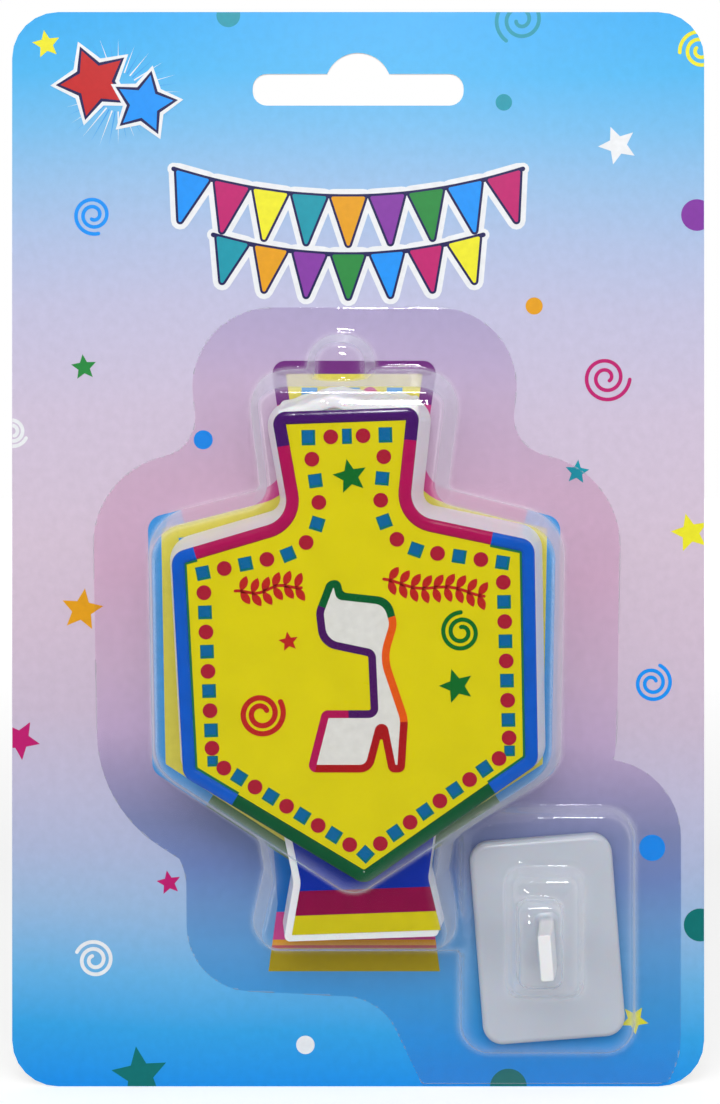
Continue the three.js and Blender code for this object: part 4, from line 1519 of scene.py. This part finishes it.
    def make_letter(self) -> None:
        """Build the letter gimel and the outline that changes colour round it."""
        corners = self.letter()
        white = self.mark("letter_white_fill", [outline(corners, 0.02 - self.letter_line, 8)], 2)
        finish = self.ink_finish("letter_white_ink", tone(222, 222, 220))
        self.put(white, finish, "white_ink", "letter_white")
        edge, inner = outline(corners, 0.0, 8, 12), outline(corners, -self.letter_line, 8, 12)
        at = part_of(edge, [(-6.56, -14.41), (7.15, -7.68), (5.83, 7.98), (-5.23, 9.72), (-1.58, -5.58)])
        colours = (
            ("red", tone(168, 16, 22)), ("orange", tone(228, 88, 14)), ("green", tone(0, 92, 46)),
            ("purple", tone(72, 18, 96)), ("magenta", tone(176, 12, 84)),
        )
        back, front = self.face - self.film + self.sunk, self.face - self.film - self.ink
        for index, (name, colour) in enumerate(colours):
            profile = [(edge, back), (edge, front), (inner, front), (inner, back)]
            piece = Piece(f"letter_line_{name}").bead(profile, at[index], at[(index + 1) % len(at)])
            finish = self.ink_finish(f"letter_{name}_ink", colour)
            self.put(piece.make(), finish, f"{name}_ink", f"letter_outline_{name}")

    def flourish(self, x: float, z: float, length: float, tilt: float, leaves: int) -> list[np.ndarray]:
        """Draw a leafy twig.

        Args:
            x: Its middle across.
            z: Its middle in height.
            length: Its length.
            tilt: Its slope in degrees.
            leaves: How many pairs of leaves it has.

        Returns:
            The outlines of its stem and leaves.
        """
        turn = math.radians(tilt)
        turned = np.array([[math.cos(turn), math.sin(turn)], [-math.sin(turn), math.cos(turn)]])
        share = np.linspace(-0.5, 0.5, 40)
        wave = self.stem_wave * np.sin(share * 3 * math.pi)
        shapes = [ribbon(np.stack([share * length, wave], axis=1), self.stem_width)]
        for index in range(leaves):
            along = (index + 0.5) / leaves - 0.5
            base = np.array([along * length, self.stem_wave * math.sin(along * 3 * math.pi)])
            for side in (-1, 1):
                lean = side * math.radians(self.leaf_lean)
                steps = np.linspace(0, 1, 9)
                along_leaf = steps * self.leaf_reach
                bulge = self.leaf_half_width * np.sin(math.pi * steps) ** 0.8
                lower, upper = (np.stack([along_leaf, sign * bulge], axis=1) for sign in (-1, 1))
                leaf = np.concatenate([lower, upper[-2:0:-1]])
                spin = np.array([[math.cos(lean), math.sin(lean)], [-math.sin(lean), math.cos(lean)]])
                shapes.append(leaf @ spin + base)
        return [shape @ turned + (x, z) for shape in shapes]

    def make_marks(self) -> None:
        """Build the twigs and spirals, and dress the three stars that stay from the CAD."""
        red = self.ink_finish("face_red_ink", tone(186, 34, 30))
        green = self.ink_finish("face_green_ink", tone(8, 108, 40))
        twigs = self.flourish(-12.5, 12.4, 9.6, 5.0, 6) + self.flourish(11.6, 11.8, 14.8, -9.0, 9)
        self.put(self.mark("face_twigs", twigs, 1), red, "red_ink")
        marks = (
            ("spiral_left_red", spiral(3.7, -14.15, -5.65, 30.0, 0.78, 2.0), red, "red_ink"),
            ("spiral_right_green", spiral(3.2, 15.35, 5.2, 90.0, 0.62, -2.0), green, "green_ink"),
        )
        for node, shape, finish, slot in marks:
            self.put(self.mark(f"face_{node}", [shape], 2), finish, slot, node)
        for node, finish in (("star_neck_green", green), ("star_left_red", red), ("star_right_green", green)):
            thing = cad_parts[node]
            thing.data.materials.clear()
            thing.data.materials.append(finish.material())
            log.info("dressed %s", node)

    def make_bands(self) -> None:
        """Build the three paint bands on the foot."""
        form = self.form
        low = form.foot_bottom + 1.0
        edge = self.foot_face
        bands = (
            ("yellow", self.yellow_band, tone(208, 195, 12), 0.0),
            ("magenta", self.magenta_band, tone(138, 0, 66), 0.02),
            ("blue", 13.0, tone(0, 42, 160), 0.04),
        )
        for name, height, colour, lift in bands:
            shape = outline(form.foot(self.band_middle), -0.35, 8, 4)
            inner = outline(form.foot(self.band_middle), -0.5, 8, 4)
            front = edge - self.film - lift
            layer = [(shape, edge + 0.3), (shape, front + 0.08), (inner, front)]
            band = Piece(f"foot_paint_{name}").loft(layer).make()
            room = Piece("room")
            sides = box_corners(0, low + height / 2, 60, height + 0.1, 0.02)
            room.loft([(outline(sides, 0, 2), edge + 1), (outline(sides, 0, 2), edge - 1)])
            work(band, room, Cut.KEEP)
            finish = self.paint(f"foot_{name}_paint", colour)
            self.put(band, finish, f"{name}_band_paint", f"foot_band_{name}")
            low += height

    def build(self) -> None:
        """Build the whole candle."""
        self.make_wax()
        self.make_wick()
        self.make_rim()
        self.make_face()
        self.make_letter()
        self.make_marks()
        self.make_bands()


# The stand


@dataclass
class Stand:
    """The plastic stand: a plate with rolled edges and a tongue that the candle's foot plugs on."""

    x: float = 28.6
    z: float = -134.0
    lean: float = 4.5
    back: float = -0.4
    width: float = 21.5
    length: float = 30.6
    thickness: float = 2.2
    corner_radius: float = 3.0
    edge_radius: float = 0.9
    tongue_width: float = 2.2
    tongue_bend: float = 0.9
    tongue_length: float = 7.0
    tongue_height: float = 10.5
    tongue_taper: float = 0.25

    def build(self) -> None:
        """Build the plate and its tongue as one moulding."""
        plate = box_corners(0, 0, self.width, self.length, self.corner_radius)
        front = self.back - self.thickness
        sections = [(outline(plate, -0.25, 14), self.back), (outline(plate, 0, 14), self.back - 0.25)]
        for step in range(7):
            angle = math.pi / 2 * step / 6
            inset = self.edge_radius * (1 - math.cos(angle))
            sections.append((outline(plate, -inset, 14), front + self.edge_radius * (1 - math.sin(angle))))
        stand = Piece("stand_moulding").loft(sections).make()
        tip = front - self.tongue_height
        taper, length = self.tongue_taper, self.tongue_height - 1.6
        root = (
            (0.7, front + 0.6), (0.7, front - 0.02), (0.42, front - 0.12), (0.2, front - 0.32),
            (0.0, front - 0.8),
        )
        between = [(-0.3 * taper * step / 5, front - 0.8 - length * step / 5) for step in range(1, 5)]
        end = ((-0.5 * taper, tip + 0.3), (-0.6 * taper, tip + 0.1), (-taper, tip))
        sections = []
        for grow, y in (*root, *between, *end):
            bend = self.tongue_bend * min(1.0, max(0.0, (front - y) / self.tongue_height)) ** 1.5
            tongue = box_corners(-bend, 0, self.tongue_width, self.tongue_length, 0.5)
            sections.append((outline(tongue, grow, 8), y))
        work(stand, Piece("tongue").loft(sections), Cut.JOIN)
        # the finish paints the tongue paler than the plate, as painted light on its shaded sides
        finish = MouldingFinish(
            "white_plastic_finish", tone(198, 203, 213), (0.28, 0.42), mottle=0.05, mottle_scale=70.0,
            broad=110.0, fine=1800.0, fine_share=0.4, relief=0.00006, softness=0.25, softness_reach=0.0012,
        )
        place = leaning(self.x, self.z, self.lean)
        settle(stand, finish.material(), "stand", ("stand",), place)
        log.info("made %s", stand.name)


# The blister


@dataclass(frozen=True)
class Pocket:
    """One formed pocket: its outline at the card, how deep it is, its draft and the radius of its edge."""

    shape: np.ndarray
    depth: float
    draft: float
    edge: float
    dome: float = 0.0
    dome_z: float = 0.0

    def field(self, x: np.ndarray, y: np.ndarray, z: np.ndarray) -> np.ndarray:
        """Give how far points lie outside the pocket.

        Args:
            x: Their places across.
            y: Their places in depth.
            z: Their places in height.

        Returns:
            The distances, negative inside the pocket.
        """
        wall = outline_distance(self.shape, x, z) - self.draft * y / (self.depth - self.edge)
        fall = self.dome * (z - self.dome_z) ** 2
        return round_edge(wall, fall - y - self.depth, self.edge)


@dataclass
class Blister:
    """The clear formed sheet with its bubbles and its sealed flange."""

    sheet: float = 0.3
    middle: float = -0.2
    offset: float = 5.4
    top_room: float = 2.2
    foot_offset: float = 4.4
    foot_trim: float = 0.6
    candle_depth: float = 15.1
    foot_depth: float = 12.1
    bubble_draft: float = 2.2
    bubble_edge: float = 1.9
    bump_x: float = -2.5
    bump_z: float = -48.0
    bump_radius: float = 5.4
    bump_depth: float = 9.35
    stand_x: float = 28.6
    stand_z: float = -132.8
    stand_width: float = 27.3
    stand_length: float = 37.8
    stand_depth: float = 4.7
    stand_radius: float = 5.0
    step_x: float = 28.0
    step_z: float = -132.2
    outer_step: tuple[float, float, float] = (16.0, 23.8, 4.6)
    outer_form: tuple[float, float, float] = (9.7, 3.0, 2.2)
    inner_step: tuple[float, float, float] = (7.8, 14.1, 2.4)
    inner_form: tuple[float, float, float] = (14.6, 0.7, 1.5)
    inner_dome: float = 0.047
    channel: tuple[float, float, float, float, float] = (14.225, -133.0, 7.25, 6.0, 1.5)
    channel_form: tuple[float, float, float] = (3.4, 0.4, 1.0)
    bump_draft: float = 1.6
    stand_draft: float = 0.8
    slant_edge: float = 2.6
    pocket_join: float = 0.8
    flange_edge: float = 0.12
    flange_join: float = 1.0
    corner_share: float = 0.64
    card_corner: float = 7.0
    card_middle: float = -75.3
    flange_width: float = 8.4
    apron: tuple[tuple[float, float, float], ...] = (
        (-36, -114.8, 1), (-26.1, -121.9, 9), (-26.0, -141.9, 10), (3.4, -143.4, 9), (10.9, -159, 1),
        (24, -159, 1), (24, -118, 1), (-20, -104, 1), (-36, -108, 1),
    )
    stand_flange: tuple[tuple[float, float, float], ...] = (
        (12, -163.0, 2.0), (49.0, -163.0, 14.0), (49.0, -107.1, 12.0), (12, -107.1, 12.0),
    )
    slants: tuple[tuple[float, float], ...] = ((90.0, 0.3), (-123.0, 0.27), (-57.0, 0.27))
    step: float = 0.45
    candle: Candle = field(default_factory=Candle)

    def grown(self, corners: Sequence[Corner], distance: float) -> list[Corner]:
        """Give corners whose edges lie further out, with round corners to match.

        Args:
            corners: The corners to start from.
            distance: How far their edges move outwards.

        Returns:
            The new corners.
        """
        places, outward = shifted(corners, distance)
        radii = [
            c.radius + distance if out else max(c.radius - distance, 1) for c, out in zip(corners, outward)
        ]
        return [Corner(float(x), float(z), radius) for (x, z), radius in zip(places, radii)]

    def outlines(self) -> tuple[list[Corner], list[Corner], list[Corner]]:
        """Give the corners of the candle's, the foot's and the stand's bubble at the card."""
        form, z = self.candle.form, self.candle.z
        body = placed(self.grown(form.body(self.top_room), self.offset), self.middle, z)
        foot = placed(self.grown(form.foot(0.0, self.foot_trim), self.foot_offset), self.middle, z)
        sizes = (self.stand_width, self.stand_length, self.stand_radius)
        return body, foot, box_corners(self.stand_x, self.stand_z, *sizes)

    def pockets(self) -> list[Pocket]:
        """Give everything that is formed out of the sheet."""
        body, foot, stand = self.outlines()
        wide = 2 * self.bump_radius
        bump = box_corners(self.bump_x, self.bump_z, wide, wide, 0.9 * self.bump_radius)
        outer = box_corners(self.step_x, self.step_z, *self.outer_step)
        inner = box_corners(self.step_x - 1.0, self.step_z - 0.3, *self.inner_step)
        channel = box_corners(*self.channel)
        rows = (
            (body, self.candle_depth, self.bubble_draft, self.bubble_edge),
            (foot, self.foot_depth, self.bubble_draft, self.bubble_edge),
            (bump, self.bump_depth, self.bump_draft, self.bubble_edge),
            (stand, self.stand_depth, self.stand_draft, self.bubble_edge),
            (outer, *self.outer_form),
            (inner, *self.inner_form, self.inner_dome, self.step_z - 1.0),
            (channel, *self.channel_form),
        )
        return [Pocket(outline(corners, 0.0, 10), *sizes) for corners, *sizes in rows]

    def flange(self) -> list[np.ndarray]:
        """Give the outlines of the sealed flange, one round each bubble."""
        body, _, _ = self.outlines()
        _, outward = shifted(body, 0.0)
        radii = [c.radius + 5.0 if out else self.flange_width + 6.0 for c, out in zip(body, outward)]
        wide = [Corner(c.x, c.z, radius) for c, radius in zip(body, radii)]
        shapes = [outline(wide, self.flange_width, 12, 1, self.corner_share)]
        for rows in (self.apron, self.stand_flange):
            shapes.append(outline([Corner(*row) for row in rows], 0.0, 12, 1, self.corner_share))
        return shapes

    def field(self) -> Field:
        """Give the field whose zero surface is the sheet's outer face."""
        pockets, flange = self.pockets(), self.flange()
        card = outline(box_corners(0, self.card_middle, 104.2, 162.2, self.card_corner), 0.0, 10)
        walls = []
        for angle, slope in self.slants:
            way = (math.cos(math.radians(angle)), math.sin(math.radians(angle)))
            walls.append((way, float((pockets[0].shape @ np.array(way)).max()), slope))

        def value(x: np.ndarray, y: np.ndarray, z: np.ndarray) -> np.ndarray:
            """Give how far points lie outside the formed sheet."""
            formed = pockets[0].field(x, y, z)
            for (across, up), reach, slope in walls:
                slant = (across * x + up * z - reach - slope * y) / math.hypot(1, slope)
                formed = round_edge(formed, slant, self.slant_edge)
            for pocket in pockets[1:]:
                formed = round_join(formed, pocket.field(x, y, z), self.pocket_join)
            plate = outline_distance(flange[0], x, z)
            for shape in flange[1:]:
                plate = np.minimum(plate, outline_distance(shape, x, z))
            plate = np.maximum(plate, outline_distance(card, x, z))
            plate = round_edge(plate, -y - self.sheet, self.flange_edge)
            return round_join(formed, plate, self.flange_join)

        return value

    def make_shaded_board_under(self) -> None:
        """Darken the board under the sheet and its bubbles: the sheet's tint plus painted shade from the
        candle and bubbles, deepest beside the candle's lower half.
        """
        shapes = self.flange()
        layers = [Piece("board_shaded_under_sheet").loft([(shape, 0.1), (shape, -0.01)]) for shape in shapes]
        thing = layers[0].make()
        for layer in layers[1:]:
            work(thing, layer, Cut.JOIN)
        card = outline(box_corners(0, self.card_middle, 104.8, 162.8, self.card_corner), 0.0, 16)
        work(thing, Piece("room").loft([(card, 1.0), (card, -1.0)]), Cut.KEEP)
        # darker than the open board: the sheet's tint and painted shade, deepest around the candle's foot
        sky = (
            (0.27, tone(178, 169, 206)), (0.324, tone(193, 176, 209)), (0.361, tone(203, 180, 208)),
            (0.445, tone(210, 177, 202)), (0.529, tone(214, 177, 203)), (0.62, tone(207, 179, 205)),
            (0.677, tone(198, 174, 207)), (0.724, tone(161, 153, 191)), (0.76, tone(131, 139, 182)),
            (0.80, tone(115, 139, 194)), (0.836, tone(110, 154, 206)), (0.873, tone(94, 161, 216)),
            (0.92, tone(60, 155, 218)), (0.957, tone(20, 147, 224)), (0.985, tone(5, 136, 220)),
        )
        finish = BoardFinish("board_shade_under_sheet_finish", tone(190, 168, 200), sky=sky)
        settle(thing, finish.material(), "pack")
        log.info("made board_shaded_under_sheet")

    def build(self) -> None:
        """Mesh the sheet and dress it."""
        # the board under the sheet carries painted shade from the candle and bubbles
        self.make_shaded_board_under()
        low, high = (-41.0, -0.075 - 35 * self.step, -157.2), (51.0, 0.4, -37.4)
        points, quads, normals = surface(self.field(), low, high, self.step)
        a, b, c, d = (points[quads[:, k]] for k in range(4))
        facing = np.cross(c - a, d - b)
        wrong = (facing * normals[quads].mean(axis=1)).sum(axis=1) < 0
        quads[wrong] = quads[wrong][:, ::-1]
        used = np.unique(quads)
        number = np.zeros(len(points), dtype=np.int64)
        number[used] = np.arange(len(used))
        mesh = bpy.data.meshes.new("blister_sheet")
        mesh.from_pydata((points[used] * MM).tolist(), [], number[quads].tolist())
        mesh.materials.append(SheetFinish("clear_sheet_finish").material())
        mesh.polygons.foreach_set("use_smooth", np.ones(len(quads), bool))
        mesh.normals_split_custom_set_from_vertices(normals[used].tolist())
        sheet = bpy.data.objects.new("blister_sheet", mesh)
        bpy.context.scene.collection.objects.link(sheet)
        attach(sheet, "pack")
        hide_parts("blister_candle_pocket", "blister_stand_pocket")
        log.info("made blister_sheet with %d faces", len(quads))


# The studio


@dataclass
class Studio:
    """The camera, the white floor, the soft room light and a lit frame above the camera."""

    camera_place: tuple[float, float, float] = (0.0109, -0.300, -0.061)
    lens: float = 64.48
    shift: tuple[float, float] = (-0.0634, -0.0879)
    floor_height: float = -0.1568
    room_light: float = 0.39
    frame_place: tuple[float, float, float] = (0.0, -0.42, 0.20)
    frame_size: tuple[float, float] = (0.032, 0.13)
    strip: float = 0.01
    frame_power: float = 1.3
    soft_power: float = 2.27
    strip_power: float = 0.5
    strip_place: tuple[float, float, float] = (0.02, -0.1, 0.5)
    strip_size: tuple[float, float] = (0.14, 0.06)
    soft_size: tuple[float, float] = (0.7, 0.4)
    floor_reach: float = 4000.0
    glow_distances: tuple[float, float] = (0.25, 1.2)
    glow_levels: tuple[float, float] = (0.5, 0.95)
    aim: tuple[float, float, float] = (0.0, 0.0, -0.08)

    def make_camera(self) -> None:
        """Place the camera where the photograph was taken from."""
        data = bpy.data.cameras.new("camera")
        data.lens, data.sensor_width, data.clip_start = self.lens, 36.0, 0.01
        data.shift_x, data.shift_y = self.shift
        camera = bpy.data.objects.new("camera", data)
        camera.location, camera.rotation_euler = self.camera_place, (math.pi / 2, 0, 0)
        bpy.context.scene.collection.objects.link(camera)
        bpy.context.scene.camera = camera

    def seen(self, graph: Graph) -> bpy.types.NodeSocket:
        """Give 1 for the rays that show the background and 0 for those that light the object."""
        path = graph.node("ShaderNodeLightPath")
        shown = graph.maths("MAXIMUM", path.outputs["Is Camera Ray"], path.outputs["Is Glossy Ray"])
        return graph.maths("MAXIMUM", shown, path.outputs["Is Transmission Ray"])

    def make_floor(self) -> None:
        """Lay a wide white floor under the card."""
        piece, reach, level = Piece("floor"), self.floor_reach, self.floor_height / MM
        piece.points = [(x * reach, y * reach, level) for x, y in ((-1, -1), (1, -1), (1, 1), (-1, 1))]
        piece.faces = [[0, 1, 2, 3]]
        floor = piece.make()
        material = bpy.data.materials.new("floor_finish")
        material.use_nodes = True
        graph = Graph(material.node_tree)
        place = graph.node("ShaderNodeTexCoord").outputs["Object"]
        away = graph.node("ShaderNodeVectorMath", {0: place}, operation="LENGTH").outputs["Value"]
        depth = graph.node("ShaderNodeSeparateXYZ", {"Vector": place}).outputs["Y"]
        back = graph.fade(depth, -0.05, 0.1)
        path = graph.node("ShaderNodeLightPath")
        seen = graph.maths("MAXIMUM", path.outputs["Is Camera Ray"], path.outputs["Is Transmission Ray"])
        seen = graph.maths("MAXIMUM", seen, graph.maths("MULTIPLY", path.outputs["Is Glossy Ray"], back))
        lift = graph.maths("MULTIPLY", graph.fade(away, *self.glow_distances, *self.glow_levels), seen)
        front = graph.maths("MULTIPLY", path.outputs["Is Glossy Ray"], graph.maths("SUBTRACT", 1.0, back))
        values = {
            "Base Color": graph.blend(front, (0.7, 0.7, 0.7, 1.0), (0.02, 0.02, 0.02, 1.0)),
            "Roughness": 0.9,
            "Specular IOR Level": 0.1,
            "Emission Color": (1.0, 1.0, 1.0, 1.0),
            "Emission Strength": lift,
        }
        shader = graph.node("ShaderNodeBsdfPrincipled", values)
        graph.node("ShaderNodeOutputMaterial", {"Surface": shader.outputs["BSDF"]})
        floor.data.materials.append(material)

    def make_room(self) -> None:
        """Light the room evenly, and show it white with a dim side where the photographer stood."""
        world = bpy.data.worlds.new("room")
        bpy.context.scene.world = world
        world.use_nodes = True
        world.cycles.sampling_method = "NONE"
        graph = Graph(world.node_tree)
        way = graph.node("ShaderNodeTexCoord").outputs["Generated"]
        ahead = graph.node("ShaderNodeSeparateXYZ", {"Vector": way}).outputs["Y"]
        dim_side = graph.fade(ahead, -0.4, 0.2, 0.02, 1.0, "SMOOTHSTEP")
        path = graph.node("ShaderNodeLightPath")
        shown = graph.between(path.outputs["Is Glossy Ray"], 1.0, dim_side)
        level = graph.between(self.seen(graph), self.room_light, shown)
        light = graph.node("ShaderNodeBackground", {"Color": (1.0, 1.0, 1.0, 1.0), "Strength": level})
        graph.node("ShaderNodeOutputWorld", {"Surface": light.outputs[0]})

    def add_lamp(
        self, name: str, place: Vector, size: tuple[float, float], power: float, aim: Vector
    ) -> bpy.types.Object:
        """Hang one rectangular lamp.

        Args:
            name: Its name.
            place: Where it hangs.
            size: Its width and height.
            power: Its power in watts.
            aim: The point that it faces.

        Returns:
            The lamp.
        """
        data = bpy.data.lights.new(name, "AREA")
        data.shape, data.size, data.size_y, data.energy = "RECTANGLE", *size, power
        lamp = bpy.data.objects.new(name, data)
        lamp.location = place
        lamp.rotation_euler = (aim - place).to_track_quat("-Z", "Y").to_euler()
        lamp.visible_camera = False
        bpy.context.scene.collection.objects.link(lamp)
        return lamp

    def make_lamps(self) -> None:
        """Hang the lit frame and a strip, which only make glints, and three wide soft lamps."""
        centre, target = Vector(self.frame_place), Vector(self.aim)
        turn = (target - centre).to_track_quat("-Z", "Y")
        wide, tall = self.frame_size
        area = 2 * (wide + tall) * self.strip
        bars = (
            ("frame_top", (0, tall / 2), (wide, self.strip)),
            ("frame_bottom", (0, -tall / 2), (wide, self.strip)),
            ("frame_left", (-wide / 2, 0), (self.strip, tall)),
            ("frame_right", (wide / 2, 0), (self.strip, tall)),
        )
        for name, (x, y), size in bars:
            place = centre + turn @ Vector((x, y, 0))
            ahead = place + turn @ Vector((0, 0, -1))
            lamp = self.add_lamp(name, place, size, self.frame_power * size[0] * size[1] / area, ahead)
            lamp.visible_diffuse = False
        place = Vector(self.strip_place)
        strip = self.add_lamp("strip_above", place, self.strip_size, self.strip_power, target)
        strip.visible_diffuse = False
        soft = (
            ("soft_top", (0.0, -0.7, 0.4), 1.75),
            ("soft_left", (-0.6, -0.45, -0.03), 0.6),
            ("soft_right", (0.6, -0.45, -0.03), 0.6),
        )
        for name, place, share in soft:
            lamp = self.add_lamp(name, Vector(place), self.soft_size, self.soft_power * share, target)
            lamp.visible_glossy = False

    def build(self) -> None:
        """Set up the whole studio."""
        self.make_camera()
        self.make_floor()
        self.make_room()
        self.make_lamps()
        bpy.context.scene.view_settings.view_transform = "Standard"


def main() -> None:
    """Build the studio and every part of the pack."""
    Studio().build()
    candle = Candle()
    HangCard().build()
    candle.build()
    Stand().build()
    Blister(candle=candle).build()
    bpy.context.view_layer.update()


if __name__ == "__main__":
    logging.basicConfig(level=logging.INFO, format="%(message)s")
    main()
